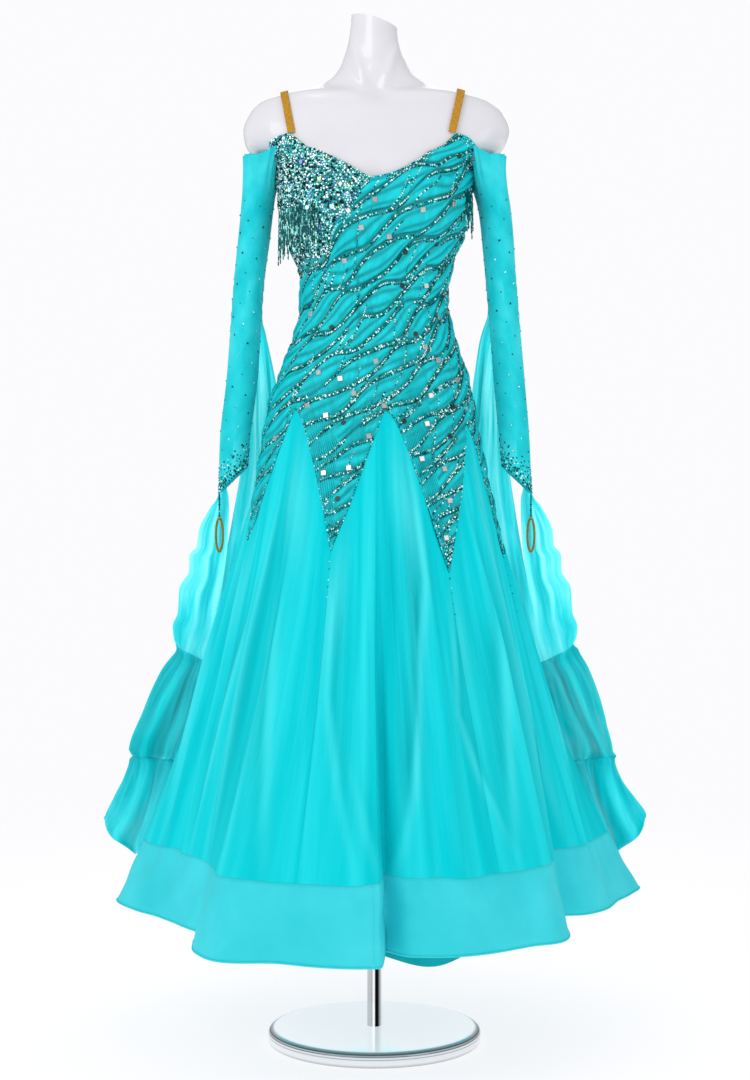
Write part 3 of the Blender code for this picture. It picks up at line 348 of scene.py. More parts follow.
def clamp(value):
    return np.clip(value, 0, 1)


def bell(value):
    return np.exp(-value ** 2)


def pack(*parts):
    return np.stack(parts, axis=-1)


def signed_power(value, power):
    return np.sign(value) * np.abs(value) ** power


def body(angle, z):
    """Surface of the display form."""
    turn = np.radians(angle)
    bend = 2 / smooth(BODY, "square", z)
    depth = np.where(np.cos(turn) > 0, smooth(BODY, "front", z), smooth(BODY, "back", z))
    x = smooth(BODY, "half", z) * signed_power(np.sin(turn), bend) + smooth(BODY, "shift", z)
    y = -depth * signed_power(np.cos(turn), bend)
    away = np.abs((angle + 180) % 360 - 180)
    bust = BUST_DEPTH * np.exp(
        -(((away - BUST_ANGLE) / BUST_SPREAD_ANGLE) ** 2)
        - ((z - BUST_HEIGHT) / BUST_SPREAD_HEIGHT) ** 2
    )
    return pack(x + BUST_SIDEWAYS * bust * np.sin(turn), y - bust, z + 0 * x)


def unit(vector):
    return vector / np.maximum(np.linalg.norm(vector, axis=-1, keepdims=True), 1e-12)


def normals(surface, angle, z, step=0.6, rise=0.004):
    """Outward direction of a surface given by angle and height."""
    along = surface(angle + step, z) - surface(angle - step, z)
    up = surface(angle, z + rise) - surface(angle, z - rise)
    return unit(np.cross(along, up))


def lean(surface, angle, z):
    """Outward level direction of a surface."""
    along = surface(angle + 0.6, z) - surface(angle - 0.6, z)
    return unit(pack(along[..., 1], -along[..., 0], 0 * along[..., 0]))


def skirt_base(angle, z):
    """Inner face of the dress without pleats: close to the form above the godets, then flared."""
    ring_z = np.maximum(z, APEX_Z)
    ring = body(angle, ring_z) + CLOTH_GAP * lean(body, angle, ring_z)
    drop = np.clip((APEX_Z - z) / (APEX_Z - HEM_Z), 0, 1.1)
    flare = FLARE_LINEAR * drop + (1 - FLARE_LINEAR) * drop ** 2
    turn = np.radians(angle)
    level = 0 * turn
    out = pack(np.sin(turn) + level, -np.cos(turn) + level, level)
    hem = MEAN_HEM_RADIUS * out
    lobe = smooth(HEM, "radius", angle, period=360) - MEAN_HEM_RADIUS
    point = ring + flare[..., None] * (hem - ring) + (drop ** LOBE_POWER * lobe)[..., None] * out
    point[..., 2] = z
    return point


def pleat_share(even):
    """How far an even angle lies across its godet: -1 and 1 at the seams, 0 under the apex."""
    half = GODET_STEP / 2
    return ((even - FIRST_APEX + half) % GODET_STEP) / half - 1


def godet_number(even):
    return np.floor((even - FIRST_APEX + GODET_STEP / 2) / GODET_STEP).astype(int) % GODETS


def placed(even, z):
    """Angle where the cloth of an even angle lies: drawn aside at the zigzag seam and below."""
    share = clamp((DRAW_TOP - z) / (DRAW_TOP - APEX_Z))
    return even + share * smooth(DRAW, "by", even, period=360)


def dress(even, z):
    """Inner face of the dress by even angle, without pleats."""
    return skirt_base(placed(even, z), z)


def even_of(angle, z):
    """Even angle of the cloth that lies at an angle."""
    even = np.asarray(angle, float)
    for _ in range(12):
        even = angle - (placed(even, z) - even)
    return even


def on_photo(pixels, lift=0.0):
    """Angles and heights of the points, lifted off the dress, that the camera sees at pixels."""
    px, py = np.array(pixels, float).T
    focal = LENS / SENSOR * PHOTO_SIZE[1]
    angle, z = 0 * px, 1 + 0 * px
    for _ in range(60):
        point = skirt_base(angle, z) + lift * lean(skirt_base, angle, z)
        x, y, height = np.moveaxis(point, -1, 0)
        scale = focal / (CAMERA_BACK + y)
        angle = np.clip(angle + 0.35 * (px - PHOTO_SIZE[0] / 2 - scale * x + HALF_PIXEL), -85, 85)
        z = z - (py - PHOTO_SIZE[1] / 2 + scale * (height - CAMERA_HEIGHT)) / focal * CAMERA_BACK
    return angle, z


def waist_edge(even):
    """Height of the zigzag seam between the bodice and the godets."""
    share, number = pleat_share(even), godet_number(even)
    peak, tips = np.array(PEAK_Z)[number], np.array(POINT_Z)
    tip = np.where(share > 0, tips[number], tips[(number - 1) % GODETS])
    drop = np.abs(share) ** np.where(share > 0, SEAM_BEND[1], SEAM_BEND[-1])
    return peak - drop * (peak - tip)


# ---------------------------------------------------------------- building helpers
def mesh_piece(name, points, faces, slot, material, *nodes):
    """A joined mesh that rides on the part."""
    made = bpy.data.meshes.new(name)
    made.from_pydata(np.asarray(points).reshape(-1, 3).tolist(), [], faces)
    made.update()
    piece = bpy.data.objects.new(name, made)
    bpy.context.scene.collection.objects.link(piece)
    made.materials.append(material)
    made.shade_smooth()
    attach(piece, "root")
    if nodes:
        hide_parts(*nodes)
    return piece


def grid_faces(rows, columns, closed=False, flip=False):
    index = np.arange(rows * columns).reshape(rows, columns)
    left = index if closed else index[:, :-1]
    right = np.roll(index, -1, axis=1) if closed else index[:, 1:]
    faces = pack(left[:-1], left[1:], right[1:], right[:-1]).reshape(-1, 4)
    return (faces[:, ::-1] if flip else faces).tolist()


def short_split(points, faces):
    """The same quads, each begun so that it is split along its shorter diagonal."""
    faces = np.array(faces)
    a, b, c, d = points.reshape(-1, 3)[faces.T]
    other = np.linalg.norm(b - d, axis=-1) < np.linalg.norm(a - c, axis=-1)
    faces[other] = np.roll(faces[other], 1, axis=1)
    return faces.tolist()


def run_after(steps):
    """Distance run before the first step and after each one."""
    return np.concatenate([[0], np.cumsum(steps)])


def grid_piece(name, grid, slot, material, nodes, closed=False, flip=False, thick=0.0):
    """A sheet from a grid of points, rows by columns, with its own lengths as its UV map."""
    rows, columns = grid.shape[:2]
    faces = short_split(grid, grid_faces(rows, columns, closed, flip))
    piece = mesh_piece(name, grid, faces, slot, material, *nodes)
    mesh = piece.data
    step = np.linalg.norm(np.diff(grid, axis=1), axis=-1).mean(axis=0)
    across = run_after(step)
    fall = run_after(np.linalg.norm(np.diff(grid, axis=0), axis=-1).mean(axis=1))
    corner = np.empty(len(mesh.loops), np.int32)
    mesh.loops.foreach_get("vertex_index", corner)
    uv = pack(across[corner % columns], -fall[corner // columns])
    if closed:
        first = corner.reshape(-1, 4) % columns
        wrap = (first.max(axis=1) - first.min(axis=1) > columns // 2)[:, None] & (first == 0)
        turn = across[-1] + np.linalg.norm(grid[:, -1] - grid[:, 0], axis=-1).mean()
        uv[:, 0] += np.where(wrap.reshape(-1), turn, 0)
    layer = mesh.uv_layers.new(name="cloth")
    layer.data.foreach_set("uv", uv.astype(np.float32).ravel())
    if thick:
        solid = piece.modifiers.new("thickness", "SOLIDIFY")
        solid.thickness = thick
        solid.offset = -1.0
    return piece


def capped(faces, rings, sides):
    """The faces of a closed grid, with its first and last ring filled."""
    return faces + [tuple(range(sides))[::-1], tuple(range((rings - 1) * sides, rings * sides))]


def hoop(points, radius, sides):
    """Points and faces of a round tube along a closed line of points."""
    along = unit(np.roll(points, -1, axis=0) - np.roll(points, 1, axis=0))
    helper = np.where(np.abs(along[:, 2:3]) > 0.9, [[1.0, 0, 0]], [[0, 0, 1.0]])
    side = unit(np.cross(along, helper))
    other = np.cross(along, side)
    turn = np.arange(sides) * 2 * math.pi / sides
    ring = (np.cos(turn)[None, :, None] * side[:, None]
            + np.sin(turn)[None, :, None] * other[:, None])
    here = np.arange(len(points) * sides).reshape(-1, sides)
    following = np.roll(here, -1, axis=0)
    faces = pack(here, following, np.roll(following, -1, axis=1), np.roll(here, -1, axis=1))
    return points[:, None] + radius * ring, faces.reshape(-1, 4).tolist()


def joined(parts):
    """One list of points and faces from several."""
    points, faces, offset = [], [], 0
    for p, f in parts:
        points.append(np.asarray(p).reshape(-1, 3))
        faces += [tuple(i + offset for i in face) for face in f]
        offset += len(points[-1])
    return np.concatenate(points), faces


def frames(out, spin):
    """Two directions across each outward direction, turned by spin."""
    helper = np.where(np.abs(out[:, 2:3]) > 0.9, [[1.0, 0, 0]], [[0, 0, 1.0]])
    side = unit(np.cross(helper, out))
    up = np.cross(out, side)
    c, s = np.cos(spin)[:, None], np.sin(spin)[:, None]
    return c * side + s * up, -s * side + c * up


GEM_RINGS = ((1.0, 0.0), (0.66, 0.62))
# Facet brightnesses and their odds for each kind of stone: partly the stones' tones, partly painted
# glints.
SHADES = (0.0, 0.25, 0.5, 0.8, 1.0)
EVEN_ODDS = (0.2, 0.2, 0.2, 0.2, 0.2)
BRIGHT_ODDS = (0.10, 0.22, 0.26, 0.24, 0.18)
DARK_ODDS = (0.44, 0.34, 0.12, 0.07, 0.03)
SLEEVE_ODDS = (0.36, 0.26, 0.12, 0.12, 0.14)
SPARK_ODDS = (0.20, 0.10, 0.14, 0.20, 0.36)


def gems(name, centre, out, radius, sides, slot, material, tilt=0.0, rings=GEM_RINGS, spin=None,
         odds=EVEN_ODDS):
    """Faceted stones as one mesh, each facet with its own hue and a brightness, partly its tone and
    partly a painted glint.
    """
    centre, out = np.asarray(centre, float), unit(np.asarray(out, float))
    count = len(centre)
    if tilt:
        out = unit(out + tilt * rng.normal(size=out.shape))
    spin = rng.uniform(0, 2 * math.pi, count) if spin is None else spin
    side, up = frames(out, spin)
    radius = np.broadcast_to(np.asarray(radius, float), (count,))[:, None]
    turn = np.arange(sides) * 2 * math.pi / sides
    verts = []
    for wide, high in rings:
        ring = centre[:, None] + (radius * wide)[..., None] * (
            np.cos(turn)[None, :, None] * side[:, None] + np.sin(turn)[None, :, None] * up[:, None]
        ) + (radius * high)[..., None] * out[:, None]
        verts.append(ring)
    verts = np.concatenate(verts, axis=1)
    block = []
    for r in range(len(rings) - 1):
        for c in range(sides):
            d = (c + 1) % sides
            block.append((r * sides + c, r * sides + d, (r + 1) * sides + d, (r + 1) * sides + c))
    top = tuple(range((len(rings) - 1) * sides, len(rings) * sides))
    base = np.arange(count) * sides * len(rings)
    quads = (base[:, None, None] + np.array(block)[None]).reshape(-1, 4).tolist()
    tops = (base[:, None] + np.array(top)[None]).tolist()
    piece = mesh_piece(name, verts, quads + tops, slot, material)
    piece.data.shade_flat()
    tones_and_glints(piece.data, count, len(block), sides, odds)
    return piece


def paint(mesh, name, domain, red, green, blue=None):
    """Colour attribute on a mesh's points or corners."""
    blue = 0 * red if blue is None else blue
    values = pack(red.ravel(), green.ravel(), blue.ravel(), 0 * red.ravel() + 1)
    layer = mesh.color_attributes.new(name=name, type="FLOAT_COLOR", domain=domain)
    layer.data.foreach_set("color", values.astype(np.float32).ravel())


def tones_and_glints(mesh, stones, quads, sides, odds):
    """A brightness for every facet, partly its stone's tone and partly painted glint, and a hue, on
    its corners: stones differ more than facets.
    """
    own = rng.choice(SHADES, stones, p=odds)
    flanks = np.repeat(own, quads) * rng.uniform(0.15, 0.95, stones * quads)
    shade = np.concatenate([flanks, own])
    hue = rng.uniform(0, 1, stones)
    hue = np.concatenate([np.repeat(hue, quads), hue])
    corners = np.concatenate([np.full(stones * quads, 4), np.full(stones, sides)])
    paint(mesh, "facet", "CORNER", np.repeat(shade, corners), np.repeat(hue, corners))


# ---------------------------------------------------------------- materials
class Nodes:
    """Short calls for a material's node tree."""

    def __init__(self, name):
        self.material = bpy.data.materials.new(name)
        self.material.use_nodes = True
        self.tree = self.material.node_tree
        self.shader = self.tree.nodes["Principled BSDF"]

    def node(self, kind, **values):
        made = self.tree.nodes.new(kind)
        for key, value in values.items():
            setattr(made, key, value)
        return made

    def link(self, source, target):
        self.tree.links.new(source, target)

    def coords(self, scale=(1, 1, 1), uv=False, turn=0.0):
        place = self.node("ShaderNodeTexCoord")
        mapping = self.node("ShaderNodeMapping")
        mapping.inputs["Scale"].default_value = scale
        mapping.inputs["Rotation"].default_value[2] = turn
        self.link(place.outputs["UV" if uv else "Object"], mapping.inputs["Vector"])
        return mapping.outputs["Vector"]

    def noise(self, where, scale, detail=3.0, rough=0.55):
        made = self.node("ShaderNodeTexNoise")
        made.inputs["Scale"].default_value = scale
        made.inputs["Detail"].default_value = detail
        made.inputs["Roughness"].default_value = rough
        self.link(where, made.inputs["Vector"])
        return made.outputs["Fac"]

    def wave(self, where, scale, distortion=0.0, direction="X"):
        made = self.node("ShaderNodeTexWave", bands_direction=direction)
        made.inputs["Scale"].default_value = scale
        made.inputs["Distortion"].default_value = distortion
        self.link(where, made.inputs["Vector"])
        return made.outputs["Fac"]

    def ramp(self, source, stops):
        made = self.node("ShaderNodeValToRGB")
        bar = made.color_ramp
        while len(bar.elements) < len(stops):
            bar.elements.new(0.5)
        for element, (place, colour) in zip(bar.elements, stops):
            element.position = place
            element.color = (*colour, 1)
        self.link(source, made.inputs["Fac"])
        return made.outputs["Color"]

    def blend(self, base, colour, mask, share):
        made = self.node("ShaderNodeMix", data_type="RGBA")
        made.inputs["B"].default_value = (*colour, 1)
        self.link(base, made.inputs["A"])
        self.link(self.spread(mask, 0.0, share), made.inputs["Factor"])
        return made.outputs["Result"]

    def spread(self, source, low, high, start=0.0, end=1.0):
        made = self.node("ShaderNodeMapRange")
        made.inputs["From Min"].default_value = start
        made.inputs["From Max"].default_value = end
        made.inputs["To Min"].default_value = low
        made.inputs["To Max"].default_value = high
        self.link(source, made.inputs["Value"])
        return made.outputs["Result"]

    def add(self, a, b, share=1.0):
        made = self.node("ShaderNodeMath", operation="MULTIPLY_ADD")
        self.link(b, made.inputs[0])
        made.inputs[1].default_value = share
        self.link(a, made.inputs[2])
        return made.outputs[0]

    def bump(self, height, distance, strength=1.0):
        made = self.node("ShaderNodeBump")
        made.inputs["Distance"].default_value = distance
        made.inputs["Strength"].default_value = strength
        self.link(height, made.inputs["Height"])
        self.link(made.outputs["Normal"], self.shader.inputs["Normal"])

    def rough(self, source, low, high):
        self.link(self.spread(source, low, high), self.shader.inputs["Roughness"])

    def set(self, **values):
        for key, value in values.items():
            self.shader.inputs[key.replace("_", " ")].default_value = value


# Painted light over a cloth's own colour: painted shade in creases (Green), painted shadow
# beside the stone lines with their dark thread (Red), painted highlights along folds (Blue).
PAINTED_SHADE_AND_SHINE = (("Green", (0.0, 0.36, 0.39), 0.9), ("Red", (0.0, 0.09, 0.10), 0.9),
         ("Blue", (0.12, 0.86, 0.91), 0.8))


def cloth_material(name, dark, mid, light, roughness, spec, sheen, weave, streak, stretch=(1, 1, 1),
                   uv=True, glow=0.0, painted_shading=False):
    """Woven cloth: fine threads in the relief, soft streaks in the colour."""
    made = Nodes(name)
    soft = made.noise(made.coords(stretch, uv=uv), streak, 4.0)
    colour = made.ramp(soft, ((0.28, dark), (0.5, mid), (0.74, light)))
    # Painted shade, shadow and highlights, read from the "line" colour attribute.
    if painted_shading:
        mark = made.node("ShaderNodeAttribute", attribute_name="line")
        parts = made.node("ShaderNodeSeparateColor")
        made.link(mark.outputs["Color"], parts.inputs["Color"])
        for channel, shade, share in PAINTED_SHADE_AND_SHINE:
            colour = made.blend(colour, shade, parts.outputs[channel], share)
    made.link(colour, made.shader.inputs["Base Color"])
    place = made.coords(uv=uv)
    threads = made.wave(place, weave, 0.4, "X")
    across = made.wave(place, weave, 0.4, "Y")
    slub = made.noise(place, weave * 0.35, 2.0)
    height = made.add(made.add(threads, across), slub, 1.5)
    made.bump(height, 0.00012, 0.35)
    made.rough(soft, roughness * 0.9, min(1.0, roughness * 1.1))
    made.set(Specular_IOR_Level=spec, Sheen_Weight=sheen, Sheen_Roughness=0.5)
    made.shader.inputs["Sheen Tint"].default_value = (*light, 1)
    # Painted light: the cloth glows in its own colours, standing for light shining through it.
    if glow:
        made.link(colour, made.shader.inputs["Emission Color"])
        made.set(Emission_Strength=glow)
    return made.material


def crystal_material(name, stops, dark, roughness=0.15, metallic=0.35, glow=0.35):
    """Foil-backed stones: each facet bright or dark, partly tone and partly painted glint, with its
    own hue; the bright ones glow as painted glints.
    """
    made = Nodes(name)
    facet = made.node("ShaderNodeAttribute", attribute_name="facet")
    parts = made.node("ShaderNodeSeparateColor")
    made.link(facet.outputs["Color"], parts.inputs["Color"])
    hue = made.ramp(parts.outputs["Green"], stops)
    shade = made.ramp(parts.outputs["Red"], ((0.0, dark), (0.25, tuple(3 * c for c in dark)),
                                             (0.55, (0.12, 0.50, 0.48)), (0.8, (0.62, 0.92, 0.86)),
                                             (1.0, (1.0, 1.0, 1.0))))
    mix = made.node("ShaderNodeMix", data_type="RGBA", blend_type="MULTIPLY")
    mix.inputs["Factor"].default_value = 1.0
    made.link(hue, mix.inputs["A"])
    made.link(shade, mix.inputs["B"])
    made.link(mix.outputs["Result"], made.shader.inputs["Base Color"])
    made.link(mix.outputs["Result"], made.shader.inputs["Emission Color"])
    # Painted glints: the brightest facets glow.
    glint = made.spread(parts.outputs["Red"], 0.0, glow, 0.6, 1.0)
    made.link(glint, made.shader.inputs["Emission Strength"])
    dust = made.noise(made.coords(), 900.0)
    made.rough(dust, roughness * 0.6, roughness * 1.8)
    made.set(Metallic=metallic, Specular_IOR_Level=0.2)
    return made.material


def gloss_material(name, colour, shade, roughness, metallic, coat=0.0, scale=40.0, relief=0.00005):
    """Smooth moulded or plated surface with a little unevenness."""
    made = Nodes(name)
    uneven = made.noise(made.coords(), scale, 4.0)
    made.link(made.ramp(uneven, ((0.3, shade), (0.7, colour))), made.shader.inputs["Base Color"])
    made.rough(uneven, roughness * 0.8, roughness * 1.25)
    made.bump(made.noise(made.coords(), scale * 3), relief, 0.3)
    made.set(Metallic=metallic, Coat_Weight=coat, Coat_Roughness=0.05)
    return made.material


def banded_chrome(name, axis, span, stops, roughness, metallic, lift=0.0):
    """Polished metal with painted reflections: the light and dark bands of a studio on one axis,
    and painted light at its far end.
    """
    made = Nodes(name)
    parts = made.node("ShaderNodeSeparateXYZ")
    made.link(made.coords(), parts.inputs["Vector"])
    place = made.spread(parts.outputs[axis], 0.0, 1.0, *span)
    bands = made.ramp(place, [(at, (tone, tone, 1.02 * tone)) for at, tone in stops])
    made.link(bands, made.shader.inputs["Base Color"])
    uneven = made.noise(made.coords(), 30.0)
    made.rough(uneven, roughness * 0.8, roughness * 1.2)
    made.set(Metallic=metallic, Specular_IOR_Level=0.5)
    # Painted light: the far end glows in the backdrop's colour.
    if lift:
        made.shader.inputs["Emission Color"].default_value = (*BACKDROP, 1)
        made.link(made.spread(place, 0.0, lift, 0.97, 1.0), made.shader.inputs["Emission Strength"])
    return made.material


PALE_STOPS = ((0.0, (0.80, 1.0, 0.95)), (0.4, (0.95, 1.0, 1.0)), (0.7, (0.70, 1.0, 0.92)),
              (1.0, (1.0, 1.0, 1.0)))
AB_STOPS = ((0.0, (0.85, 0.95, 1.0)), (0.25, (1.0, 1.0, 1.0)), (0.40, (0.35, 0.90, 0.82)),
            (0.55, (0.92, 0.95, 1.0)), (0.68, (0.30, 0.80, 0.85)), (0.78, (0.95, 0.95, 1.0)),
            (0.87, (1.0, 0.92, 0.50)), (0.94, (0.25, 0.30, 1.0)), (1.0, (0.80, 0.60, 1.0)))
TEAL_STOPS = ((0.0, (0.45, 0.95, 0.90)), (0.5, (0.70, 1.0, 0.95)), (1.0, (0.9, 1.0, 0.98)))
TEAL_DARK = (0.0, 0.07, 0.075)
BACKDROP = (0.973, 0.966, 0.990)

# Where a cloth has a glow, it is painted light, standing for light through the cloth.
M_DRAPE = cloth_material("crepe", (0.0, 0.54, 0.59), (0.0, 0.66, 0.72), (0.0, 0.80, 0.86),
                         0.50, 0.22, 0.03, 900.0, 45.0, painted_shading=True)
M_CUP = cloth_material("stoned_cloth", (0.0, 0.30, 0.31), (0.01, 0.44, 0.45), (0.08, 0.62, 0.62),
                       0.55, 0.3, 0.0, 900.0, 120.0)
M_CHIFFON = cloth_material("chiffon", (0.0, 0.56, 0.62), (0.0, 0.64, 0.70), (0.02, 0.76, 0.82),
                           0.70, 0.06, 0.04, 1100.0, 1.0, (13.0, 1.1, 1.0), glow=0.10, painted_shading=True)
M_BAND = cloth_material("stiff_chiffon", (0.03, 0.64, 0.71), (0.045, 0.70, 0.78),
                        (0.07, 0.78, 0.86), 0.62, 0.10, 0.06, 1300.0, 7.0, glow=0.05)
# The satins' stretched streaks in the colour are painted sheen along their folds.
M_SATIN = cloth_material("satin", (0.0, 0.28, 0.31), (0.03, 0.67, 0.71), (0.34, 0.96, 0.96),
                         0.30, 0.5, 0.03, 1500.0, 1.0, (40.0, 3.5, 1.0), glow=0.52)
M_DEEP_SATIN = cloth_material("deep_satin", (0.0, 0.22, 0.25), (0.0, 0.52, 0.57),
                              (0.03, 0.86, 0.87), 0.26, 0.42, 0.01, 1500.0, 1.0,
                              (28.0, 3.0, 1.0), glow=0.26)
M_FLOUNCE = cloth_material("flounce_satin", (0.0, 0.34, 0.38), (0.0, 0.56, 0.61),
                           (0.05, 0.84, 0.88), 0.34, 0.28, 0.01, 1500.0, 1.0,
                           (26.0, 4.0, 1.0), glow=0.28)
M_MESH = cloth_material("stretch_mesh", (0.0, 0.57, 0.63), (0.02, 0.71, 0.78), (0.07, 0.84, 0.91),
                        0.68, 0.10, 0.08, 1200.0, 14.0)
M_LINING = cloth_material("lining", (0.0, 0.36, 0.40), (0.0, 0.46, 0.50), (0.0, 0.54, 0.58),
                          0.7, 0.15, 0.1, 1000.0, 12.0)
M_STRAP = cloth_material("elastic", (0.42, 0.19, 0.015), (0.54, 0.27, 0.025), (0.66, 0.36, 0.05),
                         0.75, 0.15, 0.25, 700.0, 260.0)
M_CORD = cloth_material("cord", (0.24, 0.13, 0.01), (0.33, 0.18, 0.012), (0.43, 0.26, 0.03),
                        0.7, 0.2, 0.1, 900.0, 300.0, uv=False)
M_FORM = gloss_material("form_gloss", (0.81, 0.81, 0.84), (0.78, 0.78, 0.81), 0.20, 0.0, 0.35, 14.0)
M_POLE = banded_chrome("pole_chrome", 0, (-POLE_RADIUS, POLE_RADIUS),
                       ((0.0, 0.6), (0.35, 0.5), (0.4, 1.0), (0.5, 1.0), (0.55, 0.0), (0.75, 0.0),
                        (1.0, 0.9)), 0.12, 0.9)
M_DISC = banded_chrome("disc_chrome", 2, (0.0, BASE_THICKNESS),
                       ((0.0, 0.25), (0.10, 0.62), (0.24, 0.97), (0.50, 0.97), (0.56, 0.35),
                        (0.60, 0.92), (0.68, 0.95), (0.74, 0.12), (0.80, 0.85), (0.86, 0.06),
                        (0.92, 0.60), (0.97, 0.97), (1.0, 0.98)), 0.06, 0.30, lift=0.52)
M_STONE = crystal_material("crystal", PALE_STOPS, TEAL_DARK)
M_TEAL = crystal_material("teal_crystal", TEAL_STOPS, TEAL_DARK)
M_AB = crystal_material("aurora_crystal", AB_STOPS, (0.006, 0.012, 0.014), 0.12, 0.35, 0.65)
M_BEAD = crystal_material("beads", TEAL_STOPS, (0.0, 0.06, 0.065), 0.2, 0.2, 0.35)
M_MIRROR = gloss_material("mirror", (0.40, 0.44, 0.44), (0.60, 0.66, 0.65), 0.12, 0.8, 0.0, 60.0)
M_JET = gloss_material("dark_mirror", (0.0, 0.012, 0.016), (0.0, 0.03, 0.036), 0.30, 0.0,
                       scale=200.0)


# ---------------------------------------------------------------- display form and stand
def turned(name, profile, steps, slot, material, node):
    turn = np.arange(steps) * 2 * math.pi / steps
    rings = np.array([[(r * math.sin(t), -r * math.cos(t), z) for t in turn] for r, z in profile])
    faces = capped(grid_faces(len(profile), steps, closed=True), len(profile), steps)
    piece = mesh_piece(name, rings, faces, slot, material, node)
    piece.data.set_sharp_from_angle(angle=math.radians(30))
    return piece


def make_stand():
    edge = BASE_ROUNDING
    arc = np.linspace(0, math.pi / 2, 9)
    profile = [(0.013, BASE_THICKNESS)]
    profile += [(BASE_RADIUS - 1.3 * edge * (1 - math.sin(a)),
                 BASE_THICKNESS - edge * (1 - math.cos(a))) for a in arc]
    profile += [(BASE_RADIUS - 0.5 * edge * (1 - math.cos(a)), 0.5 * edge * (1 - math.sin(a)))
                for a in arc]
    turned("base_disc", profile, 160, "chrome", M_DISC, "stand_base")
    foot, top = BASE_THICKNESS + TOUCH_GAP, TORSO_BOTTOM - TOUCH_GAP
    turned("pole_tube", [(POLE_RADIUS, z) for z in np.linspace(top, foot, 24)], 48, "chrome",
           M_POLE, "stand_pole")


def make_form():
    sides = 144
    angles = np.linspace(-180, 180, sides, endpoint=False)
    heights = np.concatenate([np.linspace(TORSO_BOTTOM, 1.28, 30), np.linspace(1.284, 1.435, 60),
                              np.linspace(1.44, NECK_TOP, 22)])
    angle, z = np.meshgrid(angles, heights)
    rings = body(angle, z) - FORM_INSET * lean(body, angle, z)
    x = rings[..., 0]
    front = rings[..., 1] < 0
    collar_z = COLLAR_Z + COLLAR_RISE * np.abs(x) - COLLAR_ROUND * x ** 2
    bone = bell((z - collar_z) / 0.008) * clamp((np.abs(x) - 0.018) / 0.02)
    bone *= clamp((0.14 - np.abs(x)) / 0.04)
    hollow = bell((z - collar_z - 0.017) / 0.010) * clamp((np.abs(x) - 0.03) / 0.03)
    notch = np.exp(-((z - 1.408) / 0.012) ** 2 - (x / 0.013) ** 2)
    line = bell(x / 0.020) * bell((z - 1.27) / 0.045)
    up = np.clip((z - COLLAR_Z) / 0.10, 0, 1.1)
    cord_x = 0.012 + 0.030 * up ** 1.2
    cord = bell((np.abs(x) - cord_x) / 0.0065) * clamp((z - COLLAR_Z) / 0.015)
    throat = bell(x / 0.012) * clamp((z - 1.42) / 0.03)
    dip = HOLLOW_DEPTH * hollow + NOTCH_DEPTH * notch + BUST_LINE_DEPTH * line
    dip = dip - BONE_DEPTH * bone - NECK_CORD_DEPTH * cord - THROAT_DEPTH * throat
    rings[..., 1] += np.where(front, dip, 0)
    neck = clamp((z - NECK_BEND_Z) / (NECK_TOP - NECK_BEND_Z))
    rings[..., 2] -= NECK_TILT * neck * rings[..., 0]
    faces = capped(grid_faces(len(heights), sides, closed=True, flip=True), len(heights), sides)
    piece = mesh_piece("form_shell", rings, faces, "form", M_FORM, "form_torso")
    piece.data.set_sharp_from_angle(angle=math.radians(50))


# ---------------------------------------------------------------- bodice
def line_heights(number, across):
    """Height of a stone line at each place across the front: neighbours meet and part in turn."""
    tilt = LINE_TILT + LINE_TILT_LOW * clamp((22 - number) / 12)
    turn = 2 * math.pi * across / LINE_LENGTH + 0.45 * number + 0.8 * math.sin(1.7 * number)
    ripple = np.sin(2 * math.pi * across / LINE_RIPPLE_LENGTH + 1.9 * number)
    sway = (-1) ** number * np.sin(turn) + 0.25 * ripple
    pitch = LINE_PITCH + 2 * LINE_SPREAD * max(number, 0)
    rise = LINE_PITCH * number + LINE_SPREAD * max(number, 0) ** 2
    return LINE_BASE + rise + math.tan(math.radians(tilt)) * across + LINE_WAVE * pitch * sway


def puff(even, z):
    """Height of the cloth between its stone lines, its creases, and how near each line lies."""
    across = np.radians(even) * DRAPE_RADIUS
    heights = np.stack([line_heights(n, across) for n in range(*LINES)])
    order = 1e-4 * np.arange(len(heights)).reshape(-1, *[1] * across.ndim)
    heights = np.maximum.accumulate(heights + order)
    above = (heights > z).sum(axis=0)
    low_index = np.clip(len(heights) - above - 1, 0, len(heights) - 2)
    low = np.take_along_axis(heights, low_index[None], axis=0)[0]
    high = np.take_along_axis(heights, low_index[None] + 1, axis=0)[0]
    share = clamp((z - low) / np.maximum(high - low, 1e-5))
    size = np.clip((high - low) / 0.027, 0.1, 1.2)
    height = np.sin(math.pi * share ** 0.75) ** 0.7 * size
    phase = 2 * math.pi * (2.2 * share + 0.5 * np.sin(across * 38 + low_index * 1.3))
    crease = (0.5 + 0.5 * np.cos(phase)) ** 3 * height
    near = np.maximum(1 - (high - z) / 0.0062, 1 - (z - low) / 0.0030)
    return height, crease, clamp(near)


def relief(even, z, top, bottom):
    """How far the outer face of the draped cloth lies off its inner face."""
    height, crease, _ = puff(even, z)
    across = np.radians(even) * DRAPE_RADIUS
    ripple = np.sin(z * 400 - across * 130 + 2 * np.sin(across * 40))
    fade = clamp((top - z) / 0.012) * clamp((z - bottom) / 0.010)
    calm = np.clip((1.355 - z) / 0.06, 0.25, 1)
    drape = PUFF * height - CREASE_DEPTH * crease - RIPPLE_DEPTH * ripple * height
    return BODICE_WALL + drape * fade * calm


def bodice_grid(evens, top, rows):
    """Outer face of a draped panel, how near each point lies to a stone line, and its creases."""
    bottom = waist_edge(evens) + 2 * SEAM_GAP
    share = np.linspace(0, 1, rows)[:, None]
    z = top + (bottom - top) * share
    even = np.broadcast_to(evens, z.shape)
    off = relief(even, z, top, bottom)
    _, crease, near = puff(even, z)
    return dress(even, z) + off[..., None] * normals(dress, even, z), near, crease


